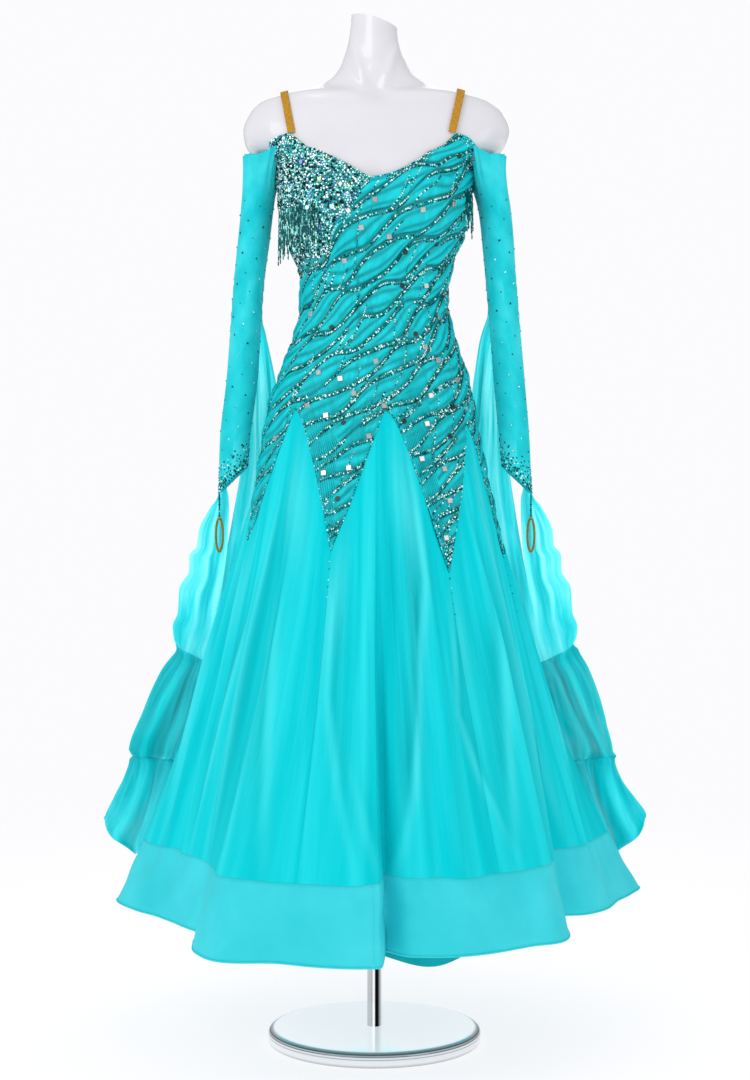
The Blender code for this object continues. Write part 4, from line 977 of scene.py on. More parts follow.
def columns(low, high, step):
    """Even angles from low to high that meet every apex and point of the zigzag."""
    half = GODET_STEP / 2
    marks = FIRST_APEX + half * np.arange(-8, 9)
    marks = marks[(marks > low + 0.01) & (marks < high - 0.01)]
    ends = np.concatenate([[low], marks, [high]])
    parts = [np.linspace(a, b, max(2, round((b - a) / step) + 1))[:-1]
             for a, b in zip(ends, ends[1:])]
    return np.concatenate(parts + [[high]])


def neck_top(angle):
    return smooth(NECKLINE, "z", (angle + 180) % 360 - 180)


def front_top(angle):
    neck = neck_top(angle)
    crossed = angle < OVERLAP["angle"][-1]
    return np.where(crossed, np.minimum(neck, smooth(OVERLAP, "z", angle)), neck)


def on_bodice(even, z, lift):
    """Points on the outside of the dress, and the outward directions there."""
    out = normals(dress, even, z)
    return dress(even, z) + np.asarray(lift)[..., None] * out, out


def walk(angle, z, pitch):
    """Points every pitch along a line on the dress, with their angles and heights."""
    path, _ = on_bodice(angle, z, np.full(len(angle), STONE_LIFT))
    run = run_after(np.linalg.norm(np.diff(path, axis=0), axis=1))
    at = np.arange(0, run[-1], pitch)
    return np.interp(at, run, angle), np.interp(at, run, z)


def make_bodice():
    for name, evens, top_of, rows, shade, area in (
        ("front", columns(*FRONT_RANGE, 0.85), front_top, 290, 1.0, 0.215),
        ("back", columns(FRONT_RANGE[1], FRONT_RANGE[0] + 360, 1.25), neck_top, 190, 0.6, 0.225),
    ):
        inner = evens.copy()
        inner[0] += SIDE_INSET
        inner[-1] -= SIDE_INSET
        grid, near, crease = bodice_grid(inner, top_of(evens), rows)
        piece = grid_piece(f"bodice_{name}_cloth", grid, "drape", M_DRAPE, [f"bodice_{name}"])
        # Painted shadow, with the lines' dark thread, beside the stone lines (fainter on the back),
        # and painted shade in the creases, in the "line" colour attribute.
        paint(piece.data, "line", "POINT", shade * near, crease)
    cup = columns(FRONT_RANGE[0], -1.43, 0.9)
    low = front_top(cup) + 2.5 * SEAM_GAP
    high = np.maximum(neck_top(cup), low + 0.004)
    share = np.linspace(0, 1, 60)[:, None]
    z = high + (low - high) * share
    angle = np.broadcast_to(cup, z.shape)
    grid, _ = on_bodice(angle, z, BODICE_WALL + 0.0002 + 0 * z)
    piece = grid_piece("bodice_cup_cloth", grid, "stoned", M_CUP, ["bodice_cup"])


def sized(angle, z, radius, keep=slice(None)):
    """Rows of even angle, height and radius for the stones that are kept."""
    angle, z = angle[keep], z[keep]
    return pack(angle, z, np.full(len(angle), radius))


def line_stones(offset, pitch, radius, back, start=0.0):
    """Places of the stones beside the drape's lines, as even angles, heights and radii."""
    found = []
    spans = [(FRONT_RANGE[0] + 1, FRONT_RANGE[1] - 1, False)]
    if back:
        spans.append((FRONT_RANGE[1] + 1, FRONT_RANGE[0] + 359, True))
    for low_angle, high_angle, behind in spans:
        even = np.linspace(low_angle + start, high_angle, 900)
        across = np.radians(even) * DRAPE_RADIUS
        for number in range(*LINES):
            z = line_heights(number, across) + offset
            a, h = walk(even, z, pitch)
            top = neck_top(a) if behind else front_top(a)
            inside = (h < top - STONE_MARGIN) & (h > waist_edge(a) + STONE_MARGIN)
            u = np.radians(a) * DRAPE_RADIUS
            gone = np.sin(u * 31 + 2.1 * number) + np.sin(u * 53 + 5.3 * number) > 1.75
            keep = inside & ~gone
            found.append(sized(a, h, radius, keep))
    return found


def steep_stones():
    """Strings that branch from one line of the drape to the next ones, and steep thin ones."""
    found = []
    for j in range(120):
        steep = j % 3 == 0
        start = rng.uniform(-88, 80)
        across = np.radians(start) * DRAPE_RADIUS
        number = rng.integers(2, 28)
        z0 = line_heights(number, across)
        length = rng.uniform(0.06, 0.12) if steep else rng.uniform(0.032, 0.07)
        slope = rng.uniform(2.2, 7.0) if steep else rng.uniform(1.2, 1.9)
        t = np.linspace(0, 1, 50)
        run = length * t / math.hypot(1, slope)
        z = z0 + slope * run + 0.0035 * np.sin(5 * t + j) * t * (1 - t) * 4
        a, h = walk(start + np.degrees(run / DRAPE_RADIUS), z, 0.0028 if steep else STONE_PITCH)
        keep = (h < front_top(a) - STONE_MARGIN) & (h > waist_edge(a) + STONE_MARGIN)
        keep &= a < FRONT_RANGE[1] - 1
        found.append(sized(a, h, 0.0011 if steep else 0.0016, keep))
    return found


def edge_stones():
    """Stones along the zigzag seam, the neckline and the edge of the crossing drape."""
    found = []
    even = np.linspace(-180, 180, 3600)
    a, h = walk(even, waist_edge(even) + 0.0022, 0.0040)
    keep = rng.random(len(a)) < 0.72
    found.append(sized(a, h, 0.0012, keep))
    for k in range(3):
        a, h = walk(even, neck_top(even) - 0.0020 - 0.0034 * k, 0.0034)
        keep = np.abs(a) < (62 if k else 180)
        if k:
            keep &= (a < -1.4) | (a > 5)
        found.append(sized(a, h, 0.0015, keep))
    even = np.linspace(-88, -2, 900)
    for k in range(2):
        a, h = walk(even, smooth(OVERLAP, "z", even) - 0.0018 - 0.003 * k, 0.0033)
        found.append(sized(a, h, 0.0015))
    for number, tip in enumerate(POINT_Z):
        seam = FIRST_APEX + (number + 0.5) * GODET_STEP
        z = tip - np.cumsum(rng.uniform(0.006, 0.016, 6))
        found.append(pack(np.full(6, seam), z, rng.uniform(0.0009, 0.0014, 6)))
        side = rng.uniform(-1, 1, 60) * np.linspace(1.5, 5.0, 60)
        rise = np.linspace(0.004, 0.075, 60)
        a, h = seam + side, tip + rise
        keep = h > waist_edge(a) + 0.002
        found.append(sized(a, h, rng.uniform(0.0010, 0.0016, keep.sum()), keep))
    return found


def make_stones():
    main = np.concatenate(line_stones(0.0012, STONE_PITCH, STONE_RADIUS, True))
    under = np.concatenate(line_stones(-0.0016, STONE_PITCH, STONE_RADIUS, True, 0.7))
    third = np.concatenate(line_stones(0.0040, STONE_PITCH, STONE_RADIUS, False, 0.3))
    third = third[third[:, 1] < 1.04 + 0.03 * np.sin(third[:, 0])]
    small = np.concatenate(steep_stones())
    edge = np.concatenate(edge_stones())
    for name, spots, sides, material, odds in (
        ("line_stones", main, 5, M_STONE, BRIGHT_ODDS),
        ("line_beads", under, 4, M_TEAL, DARK_ODDS),
        ("hip_stones", third, 5, M_STONE, EVEN_ODDS),
        ("string_stones", small, 5, M_STONE, EVEN_ODDS),
        ("edge_stones", edge, 5, M_STONE, EVEN_ODDS),
    ):
        even, z, radius = spots.T
        in_front = (even > FRONT_RANGE[0]) & (even < FRONT_RANGE[1])
        top = np.where(in_front, front_top(even), neck_top(even))
        lift = relief(even, z, top, waist_edge(even)) - 0.0001
        lift = np.where(z < waist_edge(even), SKIRT_WALL + 0.0002, lift)
        centre, out = on_bodice(even, z, lift)
        gems(name, centre, out, radius * rng.uniform(0.85, 1.12, len(radius)), sides, "stoned",
             material, tilt=0.14, odds=odds)
    for name, spots, sides, size, material in (
        ("mirror_squares", (SILVER, MIRRORS_BACK[::2]), 4, 0.0054, M_MIRROR),
        ("mirror_rounds", (ROUNDS, MIRRORS_BACK[1::2]), 16, 0.0037, M_JET),
    ):
        angle, z = np.concatenate([on_photo(spots[0], MIRROR_LIFT), np.array(spots[1], float).T],
                                  axis=1)
        even = even_of(angle, z)
        angle, z, even = (part[z > waist_edge(even) + 0.004] for part in (angle, z, even))
        centre, out = on_bodice(even, z, relief(even, z, neck_top(even), waist_edge(even)) + 0.0010)
        gems(name, centre, out, size, sides, "stoned", material, 0.03,
             ((1.0, 0.0), (1.0, 0.25), (0.86, 0.36)), np.full(len(z), math.pi / 4 + 0.15))


def make_cup_stones():
    """Stones that cover the cup closely, the large ones among them."""
    spots = []
    rows = np.arange(*CUP_ROWS)
    for r, z in enumerate(rows):
        angle = np.arange(FRONT_RANGE[0] + 1, -1.6, CUP_STEP) + CUP_STEP / 2 * (r % 2)
        angle = angle + rng.uniform(-0.42, 0.42, len(angle))
        height = z + rng.uniform(-0.0009, 0.0009, len(angle))
        keep = (height < neck_top(angle) - 0.001) & (height > smooth(OVERLAP, "z", angle) + 0.002)
        keep &= (height > 1.165) | (rng.random(len(angle)) < 0.4)
        spots.append(pack(angle[keep], height[keep]))
    spots = np.concatenate(spots)
    centre, out = on_bodice(*spots.T, BODICE_WALL + rng.uniform(0, 0.0008, len(spots)))
    radius = rng.choice([0.0013, 0.0017, 0.0021, 0.0026], len(spots), p=[0.25, 0.4, 0.25, 0.1])
    gems("cup_stones", centre, out, radius, 6, "stoned", M_AB, tilt=0.30, odds=SPARK_ODDS)
    large = np.concatenate([pack(*on_photo(CUP_STONES_SEEN, MIRROR_LIFT)), CUP_STONES])
    centre, out = on_bodice(*large.T, np.full(len(large), BODICE_WALL + 0.0016))
    gems("cup_large_stones", centre, out, np.linspace(0.0050, 0.0036, len(large)), 10, "stoned",
         M_AB, tilt=0.15, odds=(0, 0, 0, 0.3, 0.7))


# ---------------------------------------------------------------- skirt
@cache
def long_folds():
    """The table's folds, and a few like them on every other godet."""
    found = []
    for side, height, pixels in FOLDS:
        angle, z = on_photo(pixels)
        found.append((side, height, pack(even_of(angle, z), z)))
    for number in range(1, GODETS):
        apex = FIRST_APEX + number * GODET_STEP
        for k, place in enumerate(FOLD_PLACES):
            low = (place + 0.09 * math.sin(5 * number + 3 * k)) * GODET_STEP / 2
            top = 0.86 - 0.20 * abs(place) - 0.06 * (k % 2)
            path = ((apex + 0.42 * low, top), (apex + 0.72 * low, 0.5 * top + 0.5 * HEM_SEAM_Z),
                    (apex + 1.02 * low, HEM_SEAM_Z))
            side = 1 if math.sin(2.1 * number + 1.7 * k) > 0 else -1
            found.append((side, FOLD_HEIGHT * (1 + 0.4 * math.sin(1.3 * number + 2.9 * k)), path))
    return found


def fold_marks(even, z):
    """Lift, shade and shine of the skirt's long folds."""
    lift, shade, shine = 0 * even, 0 * even, 0 * even
    for side, height, path in long_folds():
        at, levels = np.array(path).T
        gap = side * ((even - np.interp(z, levels[::-1], at[::-1]) + 180) % 360 - 180)
        run = clamp((levels[0] - z) / 0.12) * clamp((z - levels[-1]) / 0.05 + 1)
        weight = run * height / 0.0055
        lip = np.exp(-np.clip(gap, 0, None) / 8.0) / (1 + np.exp(-np.clip(gap, -9, 9) / 0.45))
        lift = lift + run * height * lip
        behind = 1 / (1 + np.exp(np.clip(gap, -9, 9) / 0.40))
        shade = np.maximum(shade, weight * np.exp(-np.clip(-gap, 0, None) / 3.0) * behind)
        shine = np.maximum(shine, weight * bell((gap - 1.5) / 1.2))
    return lift, shade, shine


def pleats(even, z, top):
    """How far the skirt's cloth lies off its plain flare, and its painted shade and painted
    highlights.
    """
    share, number = pleat_share(even), godet_number(even)
    crowd = PLEAT_WARP * np.sin(math.pi * share) * np.sin(1.7 * number + 1.0)
    uneven = PLEAT_MEAN + PLEAT_UNEVEN * np.sin(2.3 * number + 4.3 * share)
    fall = clamp((PLEAT_START_Z - z) / (PLEAT_START_Z - HEM_SEAM_Z))
    depth = PLEAT_DEPTH * np.sin(math.pi * fall ** PLEAT_ONSET * PLEAT_FADE) * uneven
    main = depth * np.sin(math.pi * PLEATS * (share + crowd + 1))
    run = clamp((top - z) / 0.12) ** 0.7
    fade = 0.15 + 0.85 * clamp((z - HEM_SEAM_Z) / 0.16)
    drift = 0.5 * np.sin(6 * z + 1.7 * number) + 0.25 * np.sin(15 * z + number)
    soft = np.sin(math.pi * (3.3 * share + 0.8 * drift) + 1.9 * number)
    fine = np.sin(math.pi * (8.5 * share + drift) + 1.3 * number)
    fine = signed_power(fine, 2.4)
    narrow = np.sin(math.pi * (13.7 * share - 0.7 * drift) + 2.9 * number) ** 5
    lift, shade, shine = fold_marks(even, z)
    off = main + run * fade * (0.0018 * soft + 0.0006 * fine + 0.0005 * narrow + lift)
    # Painted shade in the folds' hollows and painted highlights on their crests.
    dark = 0.85 * shade + run * (0.06 * clamp(-fine) + 0.10 * clamp(-narrow))
    bright = 0.50 * shine + run * (0.04 * clamp(fine) + 0.08 * clamp(narrow))
    # Painted highlight streaks a little below the top of the godet.
    apex_shine = bell((top - z - 0.10) / 0.07) * clamp(np.sin(5 * share + number))
    return off, clamp(dark * fade), clamp((bright + 0.40 * apex_shine) * fade)


def seam_height(even):
    """Height of the band's seam, which is eased a little up and down on its way round."""
    turn = np.radians(even)
    return HEM_SEAM_Z + 0.0014 * np.sin(9 * turn + 1) + 0.0009 * np.sin(24 * turn + 2)


def make_godets():
    half = GODET_STEP / 2
    share = np.linspace(-1, 1, 151)
    fall = np.linspace(0, 1, 62)[:, None]
    for number in range(GODETS):
        even = FIRST_APEX + number * GODET_STEP + share * half * GODET_FILL
        top = waist_edge(even) - SEAM_GAP
        z = top + (seam_height(even) - top) * fall
        even = np.broadcast_to(even, z.shape)
        lift, dark, bright = pleats(even, z, top)
        off = SKIRT_WALL + lift * clamp((1 - np.abs(share)) / 0.03)
        angle = placed(even, z)
        grid = skirt_base(angle, z) + off[..., None] * lean(skirt_base, angle, z)
        piece = grid_piece(f"godet_{number + 1}_cloth", grid, "chiffon", M_CHIFFON,
                           [f"godet_{number + 1}"])
        # Painted shade (Green) and painted highlights (Blue) of the folds, in the "line" colour
        # attribute.
        paint(piece.data, "line", "POINT", 0 * dark, dark, bright)


def hem_angles():
    even = np.arange(-180, 180, 0.6)
    extra = np.arange(0.0, 4.0, 0.12)
    both = np.concatenate([even[(even < 0) | (even >= 4)], extra])
    return np.sort(both)


def make_hem_band():
    angles = hem_angles()
    fall = np.linspace(0, 1, 17)[:, None]
    angle = np.broadcast_to(angles, (len(fall), len(angles)))
    even = even_of(angle, HEM_SEAM_Z + 0 * angle)
    seam_z = seam_height(even)
    z = seam_z - 0.0001 + (HEM_Z - seam_z + 0.0001) * fall
    follow = pleats(even, seam_z, waist_edge(even))[0] * clamp(1 - fall / 0.5) ** 2
    flutter = HEM_FLUTTER * np.sin(np.radians(angle) * 23 + 8 * fall) * np.sin(math.pi * fall)
    flutter = flutter + follow
    grid = skirt_base(angle, z) + (SKIRT_WALL + flutter)[..., None] * lean(skirt_base, angle, z)
    piece = grid_piece("hem_band_cloth", grid, "band", M_BAND, ["hem_band"], closed=True,
                       thick=0.0009)
    ring = grid[-1] + np.array([0, 0, HEM_EDGE_LIFT])
    mesh_piece("hem_edge", *hoop(ring, HEM_EDGE_RADIUS, 6), "band", M_BAND)


def make_underskirt():
    angles = np.arange(0, 360, 2.0)
    fall = np.linspace(0, 1, 26)[:, None]
    dip = bell(((angles + 180) % 360 - 180 - DIP_ANGLE) / DIP_SPREAD)
    low = UNDERSKIRT_LOW - DIP * dip
    z = UNDERSKIRT_TOP + (low - UNDERSKIRT_TOP) * fall
    angle = np.broadcast_to(angles, z.shape)
    drop = (UNDERSKIRT_TOP - z) / (UNDERSKIRT_TOP - HEM_Z)
    top = skirt_base(angle, UNDERSKIRT_TOP + 0 * z)
    hem_radius = UNDER_HEM_RADIUS + UNDER_WAVE * np.cos(np.radians(8 * angle)) + UNDER_SWING * dip
    turn = np.radians(angle)
    out = pack(np.sin(turn), -np.cos(turn), 0 * turn)
    point = top + drop[..., None] * (hem_radius[..., None] * out - top)
    point[..., 2] = z
    point = point - (SKIRT_WALL + UNDERSKIRT_INSET) * out
    piece = grid_piece("underskirt_cloth", point, "lining", M_LINING, ["underskirt"], closed=True,
                       thick=0.0006)


# ---------------------------------------------------------------- sleeves
def sleeve_surface(side, turn, z, inset=0.0):
    """Point of a sleeve: turn 0 at the front, 90 away from the body."""
    bend = 2 / smooth(SLEEVE, "square", z)
    half = smooth(SLEEVE, "half", z) - inset
    depth = smooth(SLEEVE, "depth", z) - inset
    centre = smooth(SLEEVE, "right" if side > 0 else "left", z)
    x = centre + half * signed_power(np.sin(np.radians(turn)), bend)
    y = smooth(SLEEVE, "back", z) - depth * signed_power(np.cos(np.radians(turn)), bend)
    return pack(side * x, y, z + 0 * x)


def sleeve_edges(turn):
    """Upper and lower end of a sleeve, by turn."""
    outward = np.sin(np.radians(turn))
    free_top = SLEEVE_TOP + SLEEVE_TOP_RISE * clamp(-outward) ** SLEEVE_TOP_CURVE
    facing = clamp((-outward - FACING_START) / FACING_RANGE)
    top = free_top + (SLEEVE_TOP_INNER - free_top) * facing
    low = CUFF_INNER_Z + (CUFF_POINT_Z - CUFF_INNER_Z) * (1 + outward) / 2
    return top, low


def sleeve_off(side, turn, z):
    """Wrinkles of a sleeve."""
    bend = bell((z - ELBOW_Z) / 0.06)
    rings = 0.0006 * bend * np.sin(z * 330 + 1.5 * np.sin(np.radians(turn) + side))
    long = 0.0005 * np.sin(np.radians(turn) * 3 + z * 26 + side)
    gather = clamp((z - 1.262) / 0.04) * 0.0013 * np.sin(np.radians(turn) * 14 + 9 * z)
    return rings + long * clamp((1.29 - z) / 0.1) + gather - 0.0006


def on_sleeve(side, turn, z):
    """Points on a sleeve's wrinkled outside, and the outward directions there."""
    out = unit(sleeve_surface(side, turn, z, -0.001) - sleeve_surface(side, turn, z, 0.001))
    return sleeve_surface(side, turn, z) + sleeve_off(side, turn, z)[..., None] * out, out


def make_sleeves():
    turns = np.concatenate([np.arange(*span) for span in (
        (0, 216, 4.0), (216, 240, 2.0), (240, 300, 5.0), (300, 324, 2.0), (324, 360, 4.0))])
    top, low = sleeve_edges(turns)
    share = np.linspace(0, 1, 76)[:, None]
    z = top + (low - top) * share
    turn = np.broadcast_to(turns, z.shape)
    for name, side in (("left", -1), ("right", 1)):
        grid, _ = on_sleeve(side, turn, z)
        piece = grid_piece(f"sleeve_{name}_cloth", grid, "mesh", M_MESH, [f"sleeve_{name}"],
                           closed=True, flip=side < 0, thick=0.0005)
        spots_turn, spots_z, radius = [], [], []
        for k in range(SLEEVE_STONES):
            spots_turn.append((k * GOLDEN_TURN) % 360)
            spots_z.append(0.87 + 0.40 * (k + rng.uniform(0, 1)) / SLEEVE_STONES)
            radius.append(rng.choice([0.0011, 0.0015, 0.0018]))
        for row in range(CUFF_ROWS):
            t = (np.arange(CUFF_COUNT) + 0.5 * (row % 2)) * 360 / CUFF_COUNT
            t = t + rng.uniform(-1 - row, 1 + row, CUFF_COUNT)
            t = t[rng.random(CUFF_COUNT) < 1.2 - 0.1 * row]
            loose = rng.uniform(-1, 1, len(t)) * 0.0004 * (1 + row)
            spots_turn += list(t)
            spots_z += list(sleeve_edges(t)[1] + CUFF_MARGIN + CUFF_PITCH * row + loose)
            radius += list(rng.uniform(0.0015, 0.0021, len(t)) * (1 if row < 3 else 0.75))
        centre, out = on_sleeve(side, np.array(spots_turn), np.array(spots_z))
        gems(f"sleeve_{name}_stones", centre, out, np.array(radius), 6, "stoned", M_TEAL, tilt=0.08,
             odds=SLEEVE_ODDS)


def make_loops():
    for name, side in (("left", -1), ("right", 1)):
        point = sleeve_surface(side, np.array(90.0), np.array(CUFF_POINT_Z))
        x, y = point[0] - side * 0.0012, point[1]
        low = LOOP_Z + LOOP_HALF_HEIGHT + CORD_RADIUS + TOUCH_GAP
        high = CUFF_POINT_Z - TOUCH_GAP
        beads = []
        for k in range(STEM_BEADS):
            z = low + (high - low) * (k + 0.5) / STEM_BEADS
            beads.append(bead((x, y, z), 0.0013 if k % 3 else 0.0017, 0.0014))
        piece = mesh_piece(f"stem_{name}_beads", *joined(beads), "stem", M_BEAD,
                           f"loop_stem_{name}")
        bead_tones_and_glints(piece)
        turn = np.linspace(0, 2 * math.pi, 64, endpoint=False)
        ring = pack(x + (LOOP_HALF_WIDTH - CORD_PLUMP) * np.sin(turn), np.full(64, y),
                    LOOP_Z + (LOOP_HALF_HEIGHT - CORD_PLUMP) * np.cos(turn))
        mesh_piece(f"loop_{name}_cord", *hoop(ring, CORD_RADIUS + CORD_PLUMP, 10), "cord",
                   M_CORD, f"finger_loop_{name}")


def bead(centre, radius, half_height, sides=6):
    """Small barrel-shaped bead, its hole's axis upright."""
    turn = np.arange(sides) * 2 * math.pi / sides
    rings = [pack(centre[0] + radius * wide * np.cos(turn),
                  centre[1] + radius * wide * np.sin(turn),
                  np.full(sides, centre[2] + half_height * high)) for wide, high in BEAD_RINGS]
    faces = grid_faces(len(rings), sides, closed=True, flip=True)
    return np.concatenate(rings), capped(faces, len(rings), sides)


def bead_tones_and_glints(piece):
    """Brightness of the beads' faces: dark beads and bright ones, each face darkened at random as a
    painted reflection, and a hue.
    """
    mesh = piece.data
    mesh.shade_flat()
    count = len(mesh.polygons)
    totals = np.empty(count, np.int32)
    mesh.polygons.foreach_get("loop_total", totals)
    own = rng.choice([0.05, 0.2, 0.5, 0.95], (count + 16) // 17, p=[0.35, 0.3, 0.15, 0.2])
    own = np.repeat(own, 17)
    shade = np.repeat(own[:count] * rng.uniform(0.4, 1.0, count), totals)
    hue = np.repeat(rng.uniform(0, 1, count), totals)
    paint(mesh, "facet", "CORNER", shade, hue)


def strap_path(side, steps):
    """Points of a strap over the shoulder, from front to back."""
    rise = np.array(STRAP_ROWS)
    points = []
    for z, face in [(z, "front") for z in rise] + [(z, "back") for z in rise[::-1]]:
        share = (z - STRAP_ENDS_Z) / (rise[-1] - STRAP_ENDS_Z)
        x = STRAP_LOW_X[side] + share * (STRAP_TOP_X[side] - STRAP_LOW_X[side])
        level = np.array(z)
        half, bend = smooth(BODY, "half", level), smooth(BODY, "square", level)
        shift = side * smooth(BODY, "shift", level)
        depth = smooth(BODY, face, level)
        y = depth * max(0.0, 1 - abs((x - shift) / half) ** bend) ** (1 / bend)
        points.append((side * x, -y if face == "front" else y, z))
    points = np.array(points)
    top = (points[5] + points[6]) / 2
    top[2] = STRAP_CREST_Z + STRAP_CREST_RISE * (STRAP_TOP_X[-1] - STRAP_TOP_X[side])
    points = np.insert(points, 6, top, axis=0)
    run = run_after(np.linalg.norm(np.diff(points, axis=0), axis=1))
    curve = {"run": tuple(run), "x": tuple(points[:, 0]), "y": tuple(points[:, 1]),
             "z": tuple(points[:, 2])}
    at = np.linspace(0, run[-1], steps)
    return pack(*(smooth(curve, axis, at) for axis in "xyz"))


def make_straps():
    for name, side in (("left", -1), ("right", 1)):
        path = strap_path(side, 90)
        along = unit(np.gradient(path, axis=0))
        slope = clamp((path[:, 2:3] - 1.35) / 0.07)
        width = np.array([[side, 0, 0]]) - slope * np.array([[0, 0, SHOULDER_SLOPE]])
        out = unit(np.cross(width, along) * side)
        width = unit(np.cross(out, along))
        across = np.linspace(-0.5, 0.5, 9)
        crown = 0.0002 * np.cos(math.pi * across)
        grid = (path[:, None] + across[None, :, None] * STRAP_WIDTH * width[:, None]
                + (STRAP_LIFT + STRAP_WALL + crown)[None, :, None] * out[:, None])
        piece = grid_piece(f"strap_{name}_band", grid, "strap", M_STRAP, [f"strap_{name}"],
                           thick=0.0012, flip=side > 0)


# ---------------------------------------------------------------- floats
def tier_grid(table, side, across, rows, folds, depth, sag, droop=0.0):
    """Fine points of a float's tier, swept round the body between its two rails."""
    z = np.linspace(table["z"][0], table["z"][-1], rows)
    outer = pack(side * smooth(table, "outer_x", z), smooth(table, "outer_y", z), z)
    back = pack(side * smooth(table, "back_x", z), smooth(table, "back_y", z), z)
    share = np.linspace(0, 1, across + 1)
    radius = [np.hypot(r[:, 0], r[:, 1]) for r in (outer, back)]
    turn = [np.arctan2(side * r[:, 0], -r[:, 1]) for r in (outer, back)]
    angle = turn[0][:, None] + (turn[1] - turn[0])[:, None] * share
    fall = np.linspace(0, 1, rows)[:, None]
    fold = depth * (0.25 + 0.75 * fall) * np.sin(2 * math.pi * folds * share + 0.6)
    fold = fold * clamp(share / 0.12)
    reach = radius[0][:, None] + (radius[1] - radius[0])[:, None] * share + fold
    hang = sag[0] + (sag[1] - sag[0]) * fall
    height = outer[:, 2][:, None] - hang * np.sin(math.pi * 0.55 * share) + 0 * reach
    height = height - droop * fall * smooth(DROOP, "by", share)
    return pack(side * reach * np.sin(angle), -reach * np.cos(angle), height)


def meet(grid, row, target):
    """Grid drawn over, most of all near one of its ends, so that this end lies on the target."""
    fall = np.linspace(0, 1, len(grid))[:, None, None]
    weight = fall ** 2 if row == -1 else (1 - fall) ** 2
    return grid + weight * (target - grid[row])


def between(points, count):
    at = np.linspace(0, len(points) - 1, count + 1)
    return pack(*(np.interp(at, np.arange(len(points)), column) for column in points.T))


def satin_folds(grid, side, size, count, seed):
    """Soft long folds of uneven width and small puckers below a float's upper seam."""
    along = np.gradient(grid, axis=1)
    down = np.gradient(grid, axis=0)
    out = unit(np.cross(along, down))
    out = out * np.sign((out * grid * [1, 1, 0]).sum())
    share = np.linspace(0, 1, grid.shape[1])[None, :]
    fall = np.linspace(0, 1, grid.shape[0])[:, None]
    bent = share + 0.06 * np.sin(2 * math.pi * share + seed)
    drift = 0.25 * np.sin(2.6 * fall + seed)
    wave = signed_power(np.sin(2 * math.pi * (count * bent + drift) + seed), 0.7)
    narrow = signed_power(np.sin(2 * math.pi * (count * 2.3 * bent - drift) + 2 * seed), 2)
    tight = np.sin(2 * math.pi * (count * 4.1 * bent + 0.5 * drift) + 3 * seed) ** 3
    pucker = np.exp(-fall / 0.12) * np.sin(2 * math.pi * count * 6.1 * bent + seed)
    free = clamp(fall / 0.05) * clamp((1 - fall) / 0.04)
    relief = wave + 0.26 * narrow + 0.10 * tight + 0.30 * pucker
    return grid + (free * size * relief)[..., None] * out


def make_floats():
    for name, side in (("left", -1), ("right", 1)):
        middle = tier_grid(MIDDLE_TIER, side, 144, 42, 3.0, 0.008, (0.060, 0.040))
        wrist = tier_grid(WRIST_TIER, side, 48, 60, 1.0, 0.003, (0.0, 0.010))
        elbow = tier_grid(ELBOW_PANEL, side, 96, 72, 1.5, 0.004, (0.0, 0.0))
        flounce = tier_grid(FLOUNCE, side, 200, 38, 4.0, 0.014, (0.040, 0.0), droop=1.0)
        turns, height = np.linspace(*ELBOW_SEAM, 97), np.full(97, ELBOW_PANEL["z"][0])
        elbow = meet(elbow, 0, sleeve_surface(side, turns, height, -FLOAT_LAP - FLOAT_LIFT))
        at, rows = np.linspace(0, 4, 49), range(5)
        turns, height = (np.interp(at, rows, WRIST_SEAM[column]) for column in ("turn", "z"))
        wrist = meet(wrist, 0, sleeve_surface(side, turns, height, -FLOAT_LAP - FLOAT_LIFT))
        wrist = meet(wrist, -1, middle[0][:49])
        elbow = meet(elbow, -1, middle[0][48:])
        flounce = meet(flounce, 0, between(middle[-1], 200))
        for tier, grid, size, count, flat, area, material in (
            ("elbow", elbow, 0.0044, 2.2, (0.26, 0.58), 0.090, M_SATIN),
            ("wrist", wrist, 0.0032, 1.3, (0.13, 0.25), 0.021, M_SATIN),
            ("middle", middle, 0.0056, 2.6, (0.42, 0.21), 0.080, M_DEEP_SATIN),
            ("flounce", flounce, 0.0036, 4, (0.62, 0.16), 0.075, M_FLOUNCE),
        ):
            grid = satin_folds(grid, side, size, count, 1.0 + count + 0.7 * side)
            piece = grid_piece(f"float_{tier}_{name}_cloth", grid, "satin", material,
                               [f"float_{tier}_{name}"], flip=side < 0, thick=0.0006)


# ---------------------------------------------------------------- fringe
def make_fringe():
    for name, low, high, count, z0, z1, base, lift in FRINGES:
        share = np.linspace(0, 1, count)
        angle = low + (high - low) * share
        z = z0 + (z1 - z0) * share
        start, out = on_bodice(angle, z, np.full(count, lift + 0.0010))
        parts = []
        for k in range(count):
            strand = k / 2
            length = base + 0.014 * math.sin(2.1 * strand) + 0.008 * math.sin(5.3 * strand)
            down = 0.0
            while down < length:
                half_height, radius = BEAD_LONG if rng.random() < 0.75 else BEAD_ROUND
                swing = FRINGE_SWAY * down * out[k][:2]
                centre = (start[k][0] + swing[0], start[k][1] + swing[1],
                          start[k][2] - down - half_height)
                parts.append(bead(centre, radius, half_height, 5))
                down += 2 * half_height + BEAD_GAP
        piece = mesh_piece(f"fringe_{name}_beads", *joined(parts), "fringe", M_BEAD,
                           f"fringe_{name}")
        bead_tones_and_glints(piece)
        fine = np.linspace(low - 0.5, high + 0.5, 80)
        tape = [on_bodice(fine, np.interp(fine, angle, z) - down, np.full(80, lift + 0.0005))[0]
                for down in (0.0, TAPE_WIDTH)]
        grid_piece(f"fringe_{name}_tape", np.stack(tape), "fringe", M_CUP, [f"fringe_{name}"],
                   thick=0.0004)


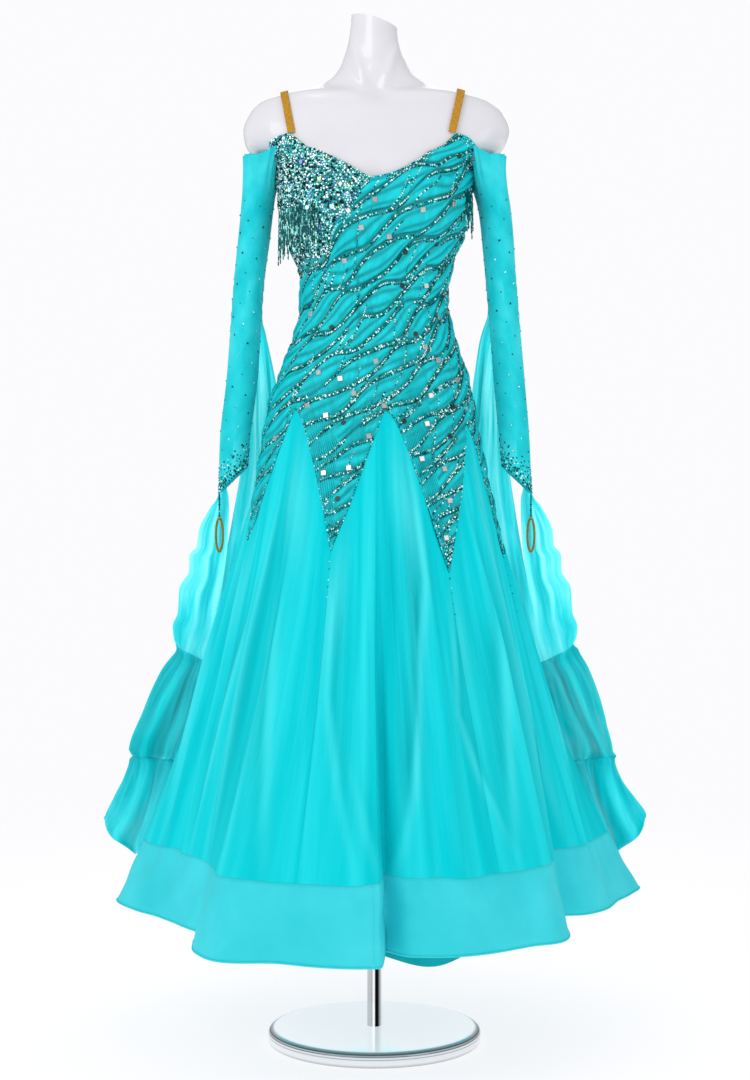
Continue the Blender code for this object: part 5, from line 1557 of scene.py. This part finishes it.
# ---------------------------------------------------------------- set
def make_set():
    floor = bpy.data.meshes.new("floor")
    corners = [(x * FLOOR_SIZE, y * FLOOR_SIZE, 0) for x, y in ((-1, -1), (1, -1), (1, 1), (-1, 1))]
    floor.from_pydata(corners, [], [(0, 1, 2, 3)])
    ground = bpy.data.objects.new("floor", floor)
    bpy.context.scene.collection.objects.link(ground)
    made = Nodes("floor_paint")
    ball = made.node("ShaderNodeTexGradient", gradient_type="SPHERICAL")
    made.link(made.coords((0.42, 0.42, 0.42)), ball.inputs["Vector"])
    near = ball.outputs["Fac"]
    made.link(made.ramp(near, ((0.0, (0.0, 0.0, 0.0)), (0.75, (0.26, 0.26, 0.26)))),
              made.shader.inputs["Base Color"])
    made.link(made.spread(near, 1.0, 0.84, 0.0, 0.75), made.shader.inputs["Emission Strength"])
    made.shader.inputs["Emission Color"].default_value = (*BACKDROP, 1)
    made.set(Roughness=0.6, Specular_IOR_Level=0.0)
    floor.materials.append(made.material)
    world = bpy.data.worlds.new("studio")
    bpy.context.scene.world = world
    world.use_nodes = True
    tree = world.node_tree
    back = tree.nodes["Background"]
    place = tree.nodes.new("ShaderNodeTexCoord")
    dot = tree.nodes.new("ShaderNodeVectorMath")
    dot.operation = "DOT_PRODUCT"
    dot.inputs[1].default_value = tuple(np.array(KEY) / np.linalg.norm(KEY))
    tree.links.new(place.outputs["Generated"], dot.inputs[0])
    spread = tree.nodes.new("ShaderNodeMapRange")
    for end, value in (("From Min", -1.0), ("From Max", 1.0), ("To Min", 0.30), ("To Max", 0.86)):
        spread.inputs[end].default_value = value
    tree.links.new(dot.outputs["Value"], spread.inputs["Value"])
    seen = tree.nodes.new("ShaderNodeLightPath")
    mix = tree.nodes.new("ShaderNodeMix")
    mix.data_type = "FLOAT"
    tree.links.new(seen.outputs["Is Camera Ray"], mix.inputs["Factor"])
    tree.links.new(spread.outputs["Result"], mix.inputs["A"])
    mix.inputs["B"].default_value = 1.0
    back.inputs["Color"].default_value = (*BACKDROP, 1)
    tree.links.new(mix.outputs["Result"], back.inputs["Strength"])
    for place, size, power in LAMPS:
        lamp = bpy.data.lights.new("softbox", "AREA")
        lamp.size, lamp.energy = size, power
        light = bpy.data.objects.new("softbox", lamp)
        bpy.context.scene.collection.objects.link(light)
        light.location = place
        aim = np.array(LAMP_AIM) - np.array(place)
        x, y, z = aim / np.linalg.norm(aim)
        light.rotation_mode = "QUATERNION"
        light.rotation_quaternion = Vector((x, y, z)).to_track_quat("-Z", "Y")
    lens = bpy.data.cameras.new("camera")
    lens.sensor_fit, lens.sensor_height, lens.lens = "VERTICAL", SENSOR, LENS
    lens.shift_x = HALF_PIXEL / PHOTO_SIZE[1]
    camera = bpy.data.objects.new("camera", lens)
    camera.location = (0, -CAMERA_BACK, CAMERA_HEIGHT)
    camera.rotation_euler = (math.pi / 2, 0, 0)
    bpy.context.scene.collection.objects.link(camera)
    bpy.context.scene.camera = camera
    bpy.context.scene.view_settings.view_transform = "Standard"


make_set()
make_stand()
make_form()
make_bodice()
make_godets()
make_hem_band()
make_underskirt()
make_sleeves()
make_loops()
make_straps()
make_floats()
make_stones()
make_cup_stones()
make_fringe()
